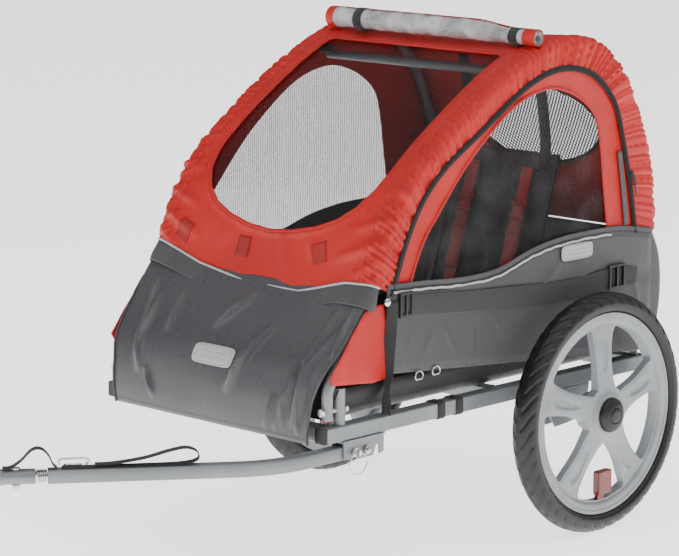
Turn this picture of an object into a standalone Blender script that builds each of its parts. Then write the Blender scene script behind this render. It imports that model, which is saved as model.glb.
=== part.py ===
"""Single-child bicycle trailer with a folding frame, quick-release wheels and a side-mounted tow arm.

Lengths are metres, +X is the direction of travel, +Y is the left side and +Z is up. Stations along X
are written from the wheel axle and shifted by AXLE_X at the end, so that the origin sits on the
ground under the middle of the whole trailer.
"""

import math

import bmesh
import bpy
import numpy as np
from mathutils import Vector

GAP = 0.0003
PLAY = 0.00013
AXLE_X = -0.3889
AXLE_Z = 0.2030

TYRE_R = 0.2030
TYRE_HALF = 0.0225
WHEEL_Y = 0.3082
RIM_R = 0.1703
RIM_HALF = 0.0161
RIM_SEAT_R = 0.1655
RIM_INNER_R = 0.1500
SPOKES = 5
AXLE_R = 0.0060
HUB_R = 0.0320
CAP_R = 0.0290
BUTTON_R = 0.0130

RAIL = 0.0250
RAIL_WALL = 0.0020
RAIL_OUT = 0.2528
RAIL_MID = RAIL_OUT - RAIL / 2
RAIL_IN = RAIL_OUT - RAIL
RAIL_LOW = 0.2391
RAIL_TOP = RAIL_LOW + RAIL
RAIL_FRONT = 0.5873
RAIL_REAR = -0.1963

ARCH_Y = 0.2400
ARCH_R = 0.0095
ARCH_WALL = 0.0018
FOLD_Z = 0.2880
FRONT_LEG_X = 0.5750
REAR_LEG_X = -0.1650
BOLT_R = 0.0040
PIN_R = 0.0030

COVER_OUT = 0.0140
COVER_IN = 0.0115

BAR_X = 0.1000
BAR_Z = 0.7720
BAR_INSET = 0.0260
BAR_R = 0.0080
BAR_LEN = 0.4340
SLOPE = Vector((0.877, 0.0, -0.481)).normalized()
BAR_AXIS = Vector((0.481, 0.0, 0.877)).normalized()

ARM = 0.0220
ARM_Z = 0.2190
ARM_PIVOT_X = 0.5040
ARM_PIN_X = 0.5300
ARM_BEND = Vector((0.6874, RAIL_MID, ARM_Z))
ARM_DIR = Vector((0.786, -0.618, 0.0)).normalized()
ARM_AFTER = 0.3460
SPRING_LEN = 0.0180
COUPLER_LEN = 0.0560
COUPLER_R = 0.0120

ARCH_LINE = [
    (0.575, 0.274), (0.575, 0.300), (0.573, 0.323), (0.550, 0.357), (0.500, 0.422), (0.470, 0.480),
    (0.448, 0.535), (0.408, 0.597), (0.352, 0.650), (0.262, 0.712), (0.160, 0.771),
    (0.065, 0.808), (0.000, 0.815), (-0.062, 0.800), (-0.120, 0.755), (-0.162, 0.686),
    (-0.192, 0.605), (-0.207, 0.530), (-0.207, 0.460), (-0.192, 0.375), (-0.165, 0.300),
    (-0.165, 0.274),
]
SIDE_TOP = [
    (0.700, 0.455), (0.445, 0.466), (0.274, 0.460), (0.192, 0.464), (0.110, 0.484),
    (0.024, 0.495), (-0.091, 0.496), (-0.300, 0.470),
]
WINDOW = [
    (0.399, 0.500), (0.374, 0.535), (0.337, 0.579), (0.290, 0.627), (0.250, 0.663),
    (0.186, 0.712), (0.132, 0.741), (0.075, 0.757), (0.032, 0.752), (-0.015, 0.731),
    (-0.052, 0.696), (-0.066, 0.646), (-0.076, 0.584), (-0.083, 0.520), (0.030, 0.516),
    (0.110, 0.506), (0.200, 0.488), (0.300, 0.482),
]

MATERIALS = {}


def material(name, colour, rough, metal=0.0, alpha=1.0):
    if name not in MATERIALS:
        mat = bpy.data.materials.new(name)
        mat.use_nodes = True
        shader = mat.node_tree.nodes["Principled BSDF"]
        shader.inputs["Base Color"].default_value = (*colour, 1.0)
        shader.inputs["Roughness"].default_value = rough
        shader.inputs["Metallic"].default_value = metal
        shader.inputs["Alpha"].default_value = alpha
        MATERIALS[name] = mat
    return MATERIALS[name]


def steel():
    return material("silver_powder_coat", (0.50, 0.51, 0.53), 0.38, 0.6)


def zinc():
    return material("zinc_plate", (0.62, 0.62, 0.63), 0.28, 1.0)


def rubber():
    return material("black_rubber", (0.025, 0.025, 0.027), 0.75)


def black_plastic():
    return material("black_plastic", (0.03, 0.03, 0.032), 0.45)


def wheel_plastic():
    return material("silver_plastic", (0.47, 0.49, 0.51), 0.42)


def red_cloth():
    return material("red_cloth", (0.72, 0.045, 0.035), 0.6)


def grey_cloth():
    return material("grey_cloth", (0.13, 0.13, 0.14), 0.6)


def black_cloth():
    return material("black_cloth", (0.03, 0.03, 0.03), 0.7)


def black_web():
    return material("black_webbing", (0.02, 0.02, 0.022), 0.85)


def mesh_cloth():
    return material("black_mesh", (0.03, 0.03, 0.03), 0.8, 0.0, 0.6)


def make(name, verts, faces, mat, smooth=True):
    mesh = bpy.data.meshes.new(name)
    mesh.from_pydata([tuple(v) for v in verts], [], faces)
    bm = bmesh.new()
    bm.from_mesh(mesh)
    bmesh.ops.remove_doubles(bm, verts=bm.verts, dist=1e-7)
    bmesh.ops.recalc_face_normals(bm, faces=bm.faces)
    bm.to_mesh(mesh)
    bm.free()
    obj = bpy.data.objects.new(name, mesh)
    bpy.context.scene.collection.objects.link(obj)
    mesh.materials.append(mat)
    if smooth:
        shade(obj)
    return obj


def shade(obj):
    obj.data.polygons.foreach_set("use_smooth", [True] * len(obj.data.polygons))
    obj.data.set_sharp_from_angle(angle=math.radians(34))


def combine(obj, others, operation):
    """Boolean the other objects into obj, bake the result and drop the others."""
    for other in others:
        mod = obj.modifiers.new("combine", "BOOLEAN")
        mod.operation = operation
        mod.solver = "EXACT"
        mod.object = other
        graph = bpy.context.evaluated_depsgraph_get()
        baked = bpy.data.meshes.new_from_object(obj.evaluated_get(graph))
        mat = obj.data.materials[0]
        obj.modifiers.clear()
        obj.data = baked
        baked.materials.clear()
        baked.materials.append(mat)
        bpy.data.objects.remove(other)
    shade(obj)
    return obj


def cut(obj, *others):
    return combine(obj, others, "DIFFERENCE")


def join(obj, *others):
    return combine(obj, others, "UNION")


def keep(obj, *others):
    return combine(obj, others, "INTERSECT")


def block(name, low, high, mat, bevel=0.0):
    bm = bmesh.new()
    bmesh.ops.create_cube(bm, size=1.0)
    low, high = Vector(low), Vector(high)
    for v in bm.verts:
        v.co = Vector([(low[i] + high[i]) / 2 + v.co[i] * (high[i] - low[i]) for i in range(3)])
    if bevel:
        bmesh.ops.bevel(bm, geom=bm.edges[:], offset=bevel, segments=2, profile=0.5, affect="EDGES")
    mesh = bpy.data.meshes.new(name)
    bm.to_mesh(mesh)
    bm.free()
    obj = bpy.data.objects.new(name, mesh)
    bpy.context.scene.collection.objects.link(obj)
    mesh.materials.append(mat)
    if bevel:
        shade(obj)
    return obj


def oriented_block(name, centre, axes, low, high, mat):
    """A box given in a local frame of three unit axes."""
    obj = block(name, low, high, mat)
    for v in obj.data.vertices:
        local = v.co.copy()
        v.co = Vector(centre) + axes[0] * local[0] + axes[1] * local[1] + axes[2] * local[2]
    bm = bmesh.new()
    bm.from_mesh(obj.data)
    bmesh.ops.recalc_face_normals(bm, faces=bm.faces)
    bm.to_mesh(obj.data)
    bm.free()
    return obj


def curve(points, steps):
    """A smooth curve through the points, with a number of steps between each two."""
    pts = np.asarray(points, float)
    ext = np.vstack([2 * pts[0] - pts[1], pts, 2 * pts[-1] - pts[-2]])
    dense = []
    for i in range(len(pts) - 1):
        a, b, c, d = ext[i:i + 4]
        for t in np.linspace(0, 1, steps, endpoint=False):
            dense.append(0.5 * (2 * b + (c - a) * t + (2 * a - 5 * b + 4 * c - d) * t * t
                                + (3 * b - a - 3 * c + d) * t ** 3))
    return np.array(dense + [pts[-1]])


def spline(points, count):
    """Resample the smooth curve at even steps of length."""
    dense = curve(points, 16)
    run = np.r_[0, np.cumsum(np.linalg.norm(np.diff(dense, axis=0), axis=1))]
    want = np.linspace(0, run[-1], count)
    return np.stack([np.interp(want, run, dense[:, k]) for k in range(dense.shape[1])], axis=1)


def circle(radius, count):
    turn = np.arange(count) * 2 * math.pi / count
    return [(radius * math.cos(a), radius * math.sin(a)) for a in turn]


def rounded(width, height, radius, steps=2):
    """A rectangle with rounded corners, as a list of section points."""
    out = []
    for cx, cy, start in ((1, 1, 0), (-1, 1, 90), (-1, -1, 180), (1, -1, 270)):
        for k in range(steps + 1):
            a = math.radians(start + 90 * k / steps)
            out.append((cx * (width / 2 - radius) + radius * math.cos(a),
                        cy * (height / 2 - radius) + radius * math.sin(a)))
    return out


def sweep(name, path, outer, mat, inner=None, up=None, closed=False):
    """Sweep a section along a path; a second section makes it a hollow tube."""
    path = [Vector(p) for p in path]
    count = len(path)
    frames = []
    side = None
    for i, point in enumerate(path):
        if closed:
            tangent = (path[(i + 1) % count] - path[i - 1]).normalized()
        else:
            tangent = (path[min(i + 1, count - 1)] - path[max(i - 1, 0)]).normalized()
        if up is not None:
            side = Vector(up).cross(tangent).normalized()
        elif side is None:
            helper = Vector((0, 1, 0)) if abs(tangent.y) < 0.9 else Vector((0, 0, 1))
            side = helper.cross(tangent).normalized()
        else:
            side = (side - tangent * side.dot(tangent)).normalized()
        frames.append((point, side.copy(), tangent.cross(side).normalized()))
    loops = [outer] + ([inner] if inner else [])
    verts, faces, starts = [], [], []
    for loop in loops:
        starts.append(len(verts))
        for point, u, v in frames:
            verts += [point + u * a + v * b for a, b in loop]
    size = len(outer)
    spans = count if closed else count - 1
    for base in starts:
        for i in range(spans):
            j = (i + 1) % count
            for k in range(size):
                m = (k + 1) % size
                faces.append((base + i * size + k, base + i * size + m,
                              base + j * size + m, base + j * size + k))
    if not closed:
        for i in (0, count - 1):
            if inner:
                for k in range(size):
                    m = (k + 1) % size
                    faces.append((starts[0] + i * size + k, starts[0] + i * size + m,
                                  starts[1] + i * size + m, starts[1] + i * size + k))
            else:
                faces.append(tuple(i * size + k for k in range(size)))
    return make(name, verts, faces, mat)


def rod(name, start, end, radius, mat, sides=20, bore=None):
    inner = circle(bore, sides) if bore else None
    return sweep(name, [start, end], circle(radius, sides), mat, inner)


def lathe(name, profile, centre, mat, sides=48, closed=False, axis=(0, 1, 0)):
    """Turn a profile of (radius, height along the axis) points about the axis."""
    axis = Vector(axis).normalized()
    helper = Vector((1, 0, 0)) if abs(axis.x) < 0.9 else Vector((0, 0, 1))
    u = (helper - axis * helper.dot(axis)).normalized()
    v = axis.cross(u)
    verts, rings = [], []
    for r, h in profile:
        base = len(verts)
        if r < 1e-9:
            verts.append(Vector(centre) + axis * h)
            rings.append([base] * sides)
            continue
        for k in range(sides):
            a = 2 * math.pi * k / sides
            verts.append(Vector(centre) + axis * h + u * (r * math.cos(a)) + v * (r * math.sin(a)))
        rings.append(list(range(base, base + sides)))
    faces = []
    last = len(rings) if closed else len(rings) - 1
    for i in range(last):
        a, b = rings[i], rings[(i + 1) % len(rings)]
        for k in range(sides):
            m = (k + 1) % sides
            quad = []
            for vert in (a[k], a[m], b[m], b[k]):
                if vert not in quad:
                    quad.append(vert)
            if len(quad) > 2:
                faces.append(tuple(quad))
    return make(name, verts, faces, mat)


def prism(name, outline, axis, low, high, mat, smooth=True):
    """Extrude a 2D outline along a world axis; it is given in the two other axes, in X, Y, Z order."""
    def place(point, level):
        coords = list(point)
        coords.insert(axis, level)
        return coords
    count = len(outline)
    verts = [place(p, low) for p in outline] + [place(p, high) for p in outline]
    faces = [tuple(range(count)), tuple(range(2 * count - 1, count - 1, -1))]
    for k in range(count):
        m = (k + 1) % count
        faces.append((k, m, count + m, count + k))
    return make(name, verts, faces, mat, smooth)


def offset(line, distance):
    """Move an open 2D line sideways, to the outside of the arch."""
    pts = np.asarray(line, float)
    tangent = np.gradient(pts, axis=0)
    tangent /= np.linalg.norm(tangent, axis=1)[:, None]
    normal = np.stack([tangent[:, 1], -tangent[:, 0]], axis=1)
    return pts + normal * distance


def shrink(outline, distance):
    """Pull a closed 2D outline in by a distance along its vertex normals."""
    pts = np.asarray(outline, float)
    area = np.sum(pts[:, 0] * np.roll(pts[:, 1], -1) - np.roll(pts[:, 0], -1) * pts[:, 1])
    tangent = np.roll(pts, -1, axis=0) - np.roll(pts, 1, axis=0)
    tangent /= np.linalg.norm(tangent, axis=1)[:, None]
    normal = np.stack([-tangent[:, 1], tangent[:, 0]], axis=1) * math.copysign(1.0, area)
    return [tuple(p) for p in pts + normal * distance]


def set_origin(objects, point):
    """Put each object's origin at a point given from the axle, then shift it to the row frame."""
    point = Vector(point)
    for obj in objects:
        for v in obj.data.vertices:
            v.co -= point
        obj.location = point + Vector((AXLE_X, 0, 0))


def mirror_name(name, side):
    return name + ("_left" if side > 0 else "_right")


def build_rails():
    outer = rounded(RAIL, RAIL, 0.0022)
    inner = rounded(RAIL - 2 * RAIL_WALL, RAIL - 2 * RAIL_WALL, 0.0010)
    for side in (1, -1):
        y = side * RAIL_MID
        z = RAIL_LOW + RAIL / 2
        sweep(mirror_name("rail", side), [(RAIL_REAR, y, z), (RAIL_FRONT, y, z)],
                     outer, steel(), inner, up=(0, 0, 1))
        for end, x, out in (("front", RAIL_FRONT, 1), ("rear", RAIL_REAR, -1)):
            head = sweep("plug", [(x + out * GAP, y, z), (x + out * 0.0030, y, z)], outer,
                         black_plastic(), up=(0, 0, 1))
            stem_w = RAIL - 2 * RAIL_WALL - 2 * GAP
            stem = sweep("stem", [(x - out * 0.0140, y, z), (x + out * 0.0015, y, z)],
                         rounded(stem_w, stem_w, 0.0010), black_plastic(), up=(0, 0, 1))
            plug = join(head, stem)
            plug.name = mirror_name("plug_" + end, side)
            set_origin([plug], (x, y, z))
    for name, x in (("cross_tube_front", 0.5738), ("cross_tube_middle", 0.1800), ("cross_tube_rear", -0.1780)):
        z = RAIL_LOW + RAIL / 2
        tube = sweep(name, [(x, -RAIL_IN + GAP, z), (x, RAIL_IN - GAP, z)], outer, steel(), inner, up=(0, 0, 1))
        set_origin([tube], (x, 0, z))


def build_pivots():
    """Posts and pivot plates are welded to the rails; a bolt through each carries a side frame's leg."""
    for side in (1, -1):
        y = side * ARCH_Y
        rail = bpy.data.objects[mirror_name("rail", side)]
        rail.location = (0, 0, 0)
        post = rod("post", (0.5490, y, RAIL_TOP - 0.0010), (0.5490, y, 0.3220), 0.0097, steel(), 18, 0.0081)
        plate = block("plate", (-0.1798, y - 0.0088, RAIL_TOP - 0.0010), (-0.1768, y + 0.0088, 0.3020), steel())
        join(rail, post, plate)
        cut(rail, rod("bore", (0.53, y, FOLD_Z), (0.58, y, FOLD_Z), BOLT_R + PLAY, steel(), 16),
            rod("bore", (-0.20, y, FOLD_Z), (-0.16, y, FOLD_Z), BOLT_R + PLAY, steel(), 16))
        set_origin([rail], (0.1955, side * RAIL_MID, RAIL_LOW + RAIL / 2))
        front = rod("bolt", (0.5350, y, FOLD_Z), (0.5880, y, FOLD_Z), BOLT_R, zinc(), 16)
        join(front, rod("head", (0.5862, y, FOLD_Z), (0.5905, y, FOLD_Z), 0.0068, zinc(), 6),
             rod("nut", (0.5340, y, FOLD_Z), (0.5383, y, FOLD_Z), 0.0068, zinc(), 6))
        front.name = mirror_name("front_pivot_bolt", side)
        set_origin([front], (0.5640, y, FOLD_Z))
        rear = rod("bolt", (-0.1836, y, FOLD_Z), (-0.1515, y, FOLD_Z), BOLT_R, zinc(), 16)
        join(rear, rod("head", (-0.1536, y, FOLD_Z), (-0.1494, y, FOLD_Z), 0.0068, zinc(), 6),
             rod("nut", (-0.1846, y, FOLD_Z), (-0.1802, y, FOLD_Z), 0.0068, zinc(), 6))
        rear.name = mirror_name("rear_pivot_bolt", side)
        set_origin([rear], (-0.1700, y, FOLD_Z))


def arch_curve(steps=2):
    return curve(ARCH_LINE, steps)


def build_side_frames():
    for side in (1, -1):
        y = side * ARCH_Y
        path = [(x, y, z) for x, z in arch_curve()]
        arch = sweep("arch", path, circle(ARCH_R, 10), steel(), circle(ARCH_R - ARCH_WALL, 10))
        cut(arch, rod("bore", (0.55, y, FOLD_Z), (0.60, y, FOLD_Z), BOLT_R + PLAY, steel(), 16),
            rod("bore", (-0.19, y, FOLD_Z), (-0.14, y, FOLD_Z), BOLT_R + PLAY, steel(), 16))
        arch.name = mirror_name("side_frame", side)
        set_origin([arch], (0.2000, y, FOLD_Z))


def build_spreader():
    """A cross bar hinged on the left side frame; its free end sits in an open saddle on the right."""
    axes = (SLOPE, Vector((0, 1, 0)), BAR_AXIS)
    for side in (1, -1):
        hinge = Vector((BAR_X, side * (ARCH_Y - BAR_INSET), BAR_Z))
        web_in = ARCH_Y - ARCH_R - GAP - (ARCH_Y - BAR_INSET)
        low = -0.0125 if side > 0 else 0.0088
        ylow, yhigh = sorted((side * (web_in - 0.0025), side * web_in))
        bracket = oriented_block("bracket", hinge, axes, (-0.0120, ylow, low), (0.0120, yhigh, 0.0308), steel())
        reach = 0.0120 if side > 0 else 0.0100
        ylow, yhigh = sorted((side * (web_in - 0.0010), side * -reach))
        ears = [oriented_block("ear", hinge, axes, (-0.0115, ylow, 0.0092), (0.0115, yhigh, 0.0115), steel())]
        if side > 0:
            ears.append(oriented_block("ear", hinge, axes, (-0.0115, ylow, -0.0120), (0.0115, yhigh, -0.0097),
                                       steel()))
        join(bracket, *ears)
        if side > 0:
            cut(bracket, rod("bore", hinge - BAR_AXIS * 0.03, hinge + BAR_AXIS * 0.03, PIN_R + PLAY,
                             steel(), 16))
        bracket.name = "spreader_hinge_bracket" if side > 0 else "spreader_saddle"
        set_origin([bracket], (0.2000, side * ARCH_Y, FOLD_Z))
    hinge = Vector((BAR_X, ARCH_Y - BAR_INSET, BAR_Z))
    bar = rod("spreader_bar", hinge + Vector((0, 0.0080, 0)), hinge - Vector((0, BAR_LEN, 0)), BAR_R, steel(),
              16)
    cut(bar, rod("bore", hinge - BAR_AXIS * 0.02, hinge + BAR_AXIS * 0.02, PIN_R + PLAY, steel(), 16))
    pin = rod("spreader_pin", hinge - BAR_AXIS * 0.0135, hinge + BAR_AXIS * 0.0125, PIN_R, zinc(), 16)
    join(pin, rod("head", hinge + BAR_AXIS * 0.0118, hinge + BAR_AXIS * 0.0140, 0.0055, zinc(), 16),
         rod("tail", hinge - BAR_AXIS * 0.0150, hinge - BAR_AXIS * 0.0128, 0.0045, zinc(), 16))
    set_origin([bar, pin], hinge)


def build_axle_brackets():
    for side in (1, -1):
        ylow, yhigh = sorted((side * (RAIL_IN + 0.0010), side * (RAIL_OUT - 0.0002)))
        body = block("axle_bracket", (-0.0450, ylow, RAIL_LOW - 0.0035), (0.0650, yhigh, RAIL_LOW - GAP),
                     steel())
        for edge in (ylow, yhigh - 0.0030):
            outline = [(-0.0450, RAIL_LOW - 0.0010), (0.0650, RAIL_LOW - 0.0010), (0.0560, 0.1960),
                       (0.0420, 0.1760),
                       (0.0100, 0.1780), (-0.0200, 0.1830), (-0.0400, 0.2100)]
            join(body, prism("cheek", outline, 1, edge, edge + 0.0030, steel()))
        sleeve = rod("sleeve", (0, side * 0.2240, AXLE_Z), (0, side * 0.2620, AXLE_Z), 0.0115, steel(), 24)
        join(body, sleeve)
        cut(body,
            rod("bore", (0, side * 0.2100, AXLE_Z), (0, side * 0.2800, AXLE_Z), AXLE_R + 0.0003, steel(), 24))
        body.name = mirror_name("axle_bracket", side)
        set_origin([body], (0, side * RAIL_MID, AXLE_Z))
        axle = rod(mirror_name("axle", side), (0, side * 0.2200, AXLE_Z), (0, side * 0.3330, AXLE_Z), AXLE_R,
                   zinc(), 48)
        set_origin([axle], (0, side * 0.2800, AXLE_Z))


def spoke_half_width(radius):
    """Half the width of a spoke: slim in the middle and flared into the ring and the hub."""
    t = (radius - 0.0400) / (RIM_INNER_R - 0.0400)
    return 0.0195 + 0.0100 * max(0.0, t - 0.45) ** 1.6 / 0.55 ** 1.6 + 0.0030 * max(0.0, 0.35 - t) / 0.35


def window_outline(index):
    """The gap between two neighbouring spokes."""
    step = 2 * math.pi / SPOKES
    first = math.pi / 2 + index * step
    radii = np.linspace(0.0480, RIM_INNER_R - 0.0040, 7)
    start = [(r, first + math.asin(spoke_half_width(r) / r)) for r in radii]
    end = [(r, first + step - math.asin(spoke_half_width(r) / r)) for r in radii[::-1]]
    far = RIM_INNER_R + 0.0005
    a0, a1 = start[-1][1] + 0.05, end[0][1] - 0.05
    arc = [(far, a) for a in np.linspace(a0, a1, 5)]
    polar = start + arc + end
    return [(r * math.cos(a), r * math.sin(a)) for r, a in polar]


def build_wheel(side):
    centre = (0, side * WHEEL_Y, AXLE_Z)
    out = (0, side, 0)
    ring = [(RIM_R, RIM_HALF), (RIM_R, RIM_HALF - 0.0026), (RIM_SEAT_R, RIM_HALF - 0.0036),
            (RIM_SEAT_R, -RIM_HALF + 0.0036), (RIM_R, -RIM_HALF + 0.0026), (RIM_R, -RIM_HALF),
            (RIM_INNER_R + 0.0030, -RIM_HALF), (RIM_INNER_R, -RIM_HALF + 0.0050),
            (RIM_INNER_R, RIM_HALF - 0.0050), (RIM_INNER_R + 0.0030, RIM_HALF - 0.0015),
            (RIM_R - 0.0060, RIM_HALF - 0.0015), (RIM_R - 0.0050, RIM_HALF)]
    rim = lathe("rim", ring, centre, wheel_plastic(), 40, True, out)
    disc = [(0.0000, 0.0270), (HUB_R, 0.0270), (HUB_R + 0.0060, 0.0215), (0.0700, 0.0165), (0.1200, 0.0115),
            (RIM_INNER_R + 0.0040, 0.0100), (RIM_INNER_R + 0.0040, -0.0040), (0.1200, -0.0030),
            (0.0700, 0.0020), (HUB_R, 0.0060), (HUB_R, -0.0230), (0.0000, -0.0230)]
    plate = lathe("disc", disc, centre, wheel_plastic(), 40, False, out)
    for k in range(SPOKES):
        low, high = sorted((centre[1] - 0.04 * side, centre[1] + 0.04 * side))
        outline = [(x, AXLE_Z + z) for x, z in window_outline(k)]
        cut(plate, prism("gap", outline, 1, low, high, wheel_plastic()))
    for k in range(SPOKES):
        a = math.pi / 2 + 2 * math.pi * k / SPOKES
        leaf = []
        for t in np.linspace(0, 2 * math.pi, 12, endpoint=False):
            along = 0.1010 + 0.0330 * math.cos(t)
            across = (0.0072 + 0.0028 * math.cos(t)) * math.sin(t)
            leaf.append((along * math.cos(a) - across * math.sin(a),
                         AXLE_Z + along * math.sin(a) + across * math.cos(a)))
        low, high = sorted((side * (WHEEL_Y + 0.0098), side * (WHEEL_Y + 0.0300)))
        cut(plate, prism("leaf", leaf, 1, low, high, wheel_plastic()))
    join(rim, plate)
    cut(rim, lathe("bore", [(0, -0.05), (AXLE_R + 0.00005, -0.05), (AXLE_R + 0.00005, 0.05), (0, 0.05)],
                   centre, wheel_plastic(), 48, False, out))
    rim.name = mirror_name("wheel_rim", side)
    tyre = lathe(mirror_name("tyre", side),
                 [(RIM_SEAT_R + 0.0006, 0.0112), (0.1716, 0.0122), (0.1722, 0.0165), (0.1755, 0.0202),
                  (0.1830, TYRE_HALF), (0.1930, 0.0195), (0.1995, 0.0120), (TYRE_R, 0.0000),
                  (0.1995, -0.0120), (0.1930, -0.0195),
                  (0.1830, -TYRE_HALF), (0.1755, -0.0202), (0.1722, -0.0165), (0.1716, -0.0122),
                  (RIM_SEAT_R + 0.0006, -0.0112), (RIM_SEAT_R + 0.0006, -0.0080), (0.1765, -0.0160),
                  (0.1880, -0.0160), (0.1980, 0.0000), (0.1880, 0.0160), (0.1765, 0.0160),
                  (RIM_SEAT_R + 0.0006, 0.0080)],
                 centre, rubber(), 40, True, out)
    face = 0.0270 + GAP
    cap = lathe(mirror_name("hub_cap", side),
                [(BUTTON_R + 0.0004, face), (CAP_R, face), (CAP_R, face + 0.0040),
                 (CAP_R - 0.0030, face + 0.0085), (CAP_R - 0.0090, face + 0.0120),
                 (BUTTON_R + 0.0020, face + 0.0132), (BUTTON_R + 0.0004, face + 0.0122)],
                centre, rubber(), 28, True, out)
    button = lathe(mirror_name("hub_button", side),
                   [(0, face + 0.0055), (BUTTON_R, face + 0.0055), (BUTTON_R, face + 0.0120),
                    (BUTTON_R - 0.0020, face + 0.0138), (0, face + 0.0146)],
                   centre, black_plastic(), 24, False, out)
    low, high = sorted((side * (WHEEL_Y + 0.0060), side * (WHEEL_Y + 0.0200)))
    lens = material("red_lens", (0.55, 0.03, 0.02), 0.2)
    reflector = block("reflector", (-0.0170, low, AXLE_Z - 0.1370), (0.0170, high, AXLE_Z - 0.0970), lens,
                      0.0020)
    low, high = sorted((side * (WHEEL_Y + 0.0030), side * (WHEEL_Y + 0.0100)))
    join(reflector, block("foot", (-0.0080, low, AXLE_Z - RIM_INNER_R + 0.0008),
                          (0.0080, high, AXLE_Z - 0.1200), lens))
    reflector.name = mirror_name("reflector", side)
    set_origin([rim, tyre, cap, button, reflector], centre)


def arm_point(along, up=0.0, sideways=0.0):
    """A point beside the angled run of the tow arm, measured from its bend."""
    across = Vector((-ARM_DIR.y, ARM_DIR.x, 0))
    return ARM_BEND + ARM_DIR * along + across * sideways + Vector((0, 0, up))


def build_tow_bracket():
    y0, y1 = RAIL_MID - 0.0145, RAIL_MID + 0.0145
    web = block("tow_bracket_web", (0.4630, y0, 0.2350), (0.5530, y1, RAIL_LOW - GAP), steel())
    cheek = [(0.4630, 0.2370), (0.5530, 0.2370), (0.5530, 0.2105), (0.5345, 0.2065), (0.5345, 0.2185),
             (0.5330, 0.2220), (0.5300, 0.2232), (0.5270, 0.2220), (0.5255, 0.2185), (0.5205, 0.2065),
             (0.4875, 0.2065), (0.4825, 0.2185), (0.4810, 0.2220), (0.4780, 0.2232), (0.4750, 0.2220),
             (0.4735, 0.2185), (0.4735, 0.2065), (0.4630, 0.2095)]
    join(web, prism("cheek", cheek, 1, y0 + 0.0001, y0 + 0.0031, steel()),
         prism("cheek", cheek, 1, y1 - 0.0031, y1 - 0.0001, steel()))
    cut(web, rod("bore", (ARM_PIVOT_X, 0.20, ARM_Z), (ARM_PIVOT_X, 0.28, ARM_Z), BOLT_R + PLAY, steel(), 16))
    web.name = "tow_bracket"
    set_origin([web], (ARM_PIVOT_X, RAIL_MID, ARM_Z))
    bolt = rod("bolt", (ARM_PIVOT_X, y0 - 0.0030, ARM_Z), (ARM_PIVOT_X, y1 + 0.0040, ARM_Z), BOLT_R, zinc(), 16)
    join(bolt,
         rod("head", (ARM_PIVOT_X, y0 - 0.0048, ARM_Z), (ARM_PIVOT_X, y0 - GAP, ARM_Z), 0.0072, zinc(), 6),
         rod("nut", (ARM_PIVOT_X, y1 + GAP, ARM_Z), (ARM_PIVOT_X, y1 + 0.0050, ARM_Z), 0.0072, zinc(), 6),
         lathe("dome",
               [(0, -0.001), (0.0058, -0.001), (0.0058, 0.0010), (0.0045, 0.0035), (0.0022, 0.0050),
                (0, 0.0054)],
               (ARM_PIVOT_X, y1 + 0.0046, ARM_Z), zinc(), 16))
    bolt.name = "arm_pivot_bolt"
    set_origin([bolt], (ARM_PIVOT_X, RAIL_MID, ARM_Z))


def build_tow_arm():
    outer = rounded(ARM, ARM, 0.0025)
    inner = rounded(ARM - 0.0032, ARM - 0.0032, 0.0012)
    start = Vector((ARM_PIVOT_X - 0.0100, RAIL_MID, ARM_Z))
    path = [start, ARM_BEND - Vector((0.0620, 0, 0))]
    turn = math.atan2(-ARM_DIR.y, ARM_DIR.x)
    reach = 0.0620
    radius = reach / math.tan(turn / 2)
    centre = ARM_BEND - Vector((reach, radius, 0))
    for k in range(1, 9):
        a = turn * k / 8
        path.append(centre + Vector((radius * math.sin(a), radius * math.cos(a), 0)))
    path.append(arm_point(ARM_AFTER))
    arm = sweep("arm", path, outer, steel(), inner, up=(0, 0, 1))
    join(arm,
         sweep("plate", [arm_point(ARM_AFTER - 0.0030), arm_point(ARM_AFTER)],
               rounded(ARM - 0.0010, ARM - 0.0010, 0.0020),
                    steel(), up=(0, 0, 1)))
    cut(arm, rod("bore", (ARM_PIVOT_X, 0.20, ARM_Z), (ARM_PIVOT_X, 0.28, ARM_Z), BOLT_R + PLAY, steel(), 16),
        rod("bore", (ARM_PIN_X, 0.20, ARM_Z), (ARM_PIN_X, 0.28, ARM_Z), 0.0036, steel(), 16))
    arm.name = "tow_arm"
    set_origin([arm], (ARM_PIVOT_X, RAIL_MID, ARM_Z))
    pin = rod("pin", (ARM_PIN_X, RAIL_MID - 0.0185, ARM_Z), (ARM_PIN_X, RAIL_MID + 0.0165, ARM_Z), 0.0035,
              zinc(), 16)
    join(pin,
         rod("head", (ARM_PIN_X, RAIL_MID + 0.0149, ARM_Z), (ARM_PIN_X, RAIL_MID + 0.0180, ARM_Z), 0.0068,
             zinc(), 20),
         block("tab", (ARM_PIN_X - 0.0020, RAIL_MID + 0.0170, ARM_Z - 0.0045),
               (ARM_PIN_X + 0.0020, RAIL_MID + 0.0280, ARM_Z + 0.0045), zinc()))
    eye_y = RAIL_MID + 0.0230
    cut(pin,
        rod("bore", (ARM_PIN_X - 0.01, eye_y, ARM_Z), (ARM_PIN_X + 0.01, eye_y, ARM_Z), 0.0020, zinc(), 12))
    pin.name = "hitch_pin"
    set_origin([pin], (ARM_PIN_X, RAIL_MID, ARM_Z))
    loop = [(ARM_PIN_X + 0.0200 * math.sin(a), eye_y, ARM_Z - 0.0170 + 0.0170 * math.cos(a))
            for a in np.linspace(0, 2 * math.pi, 24, endpoint=False)]
    ring = sweep("pin_ring", loop, circle(0.0012, 6), zinc(), closed=True, up=(0, 1, 0))
    set_origin([ring], (ARM_PIN_X, eye_y, ARM_Z))


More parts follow.
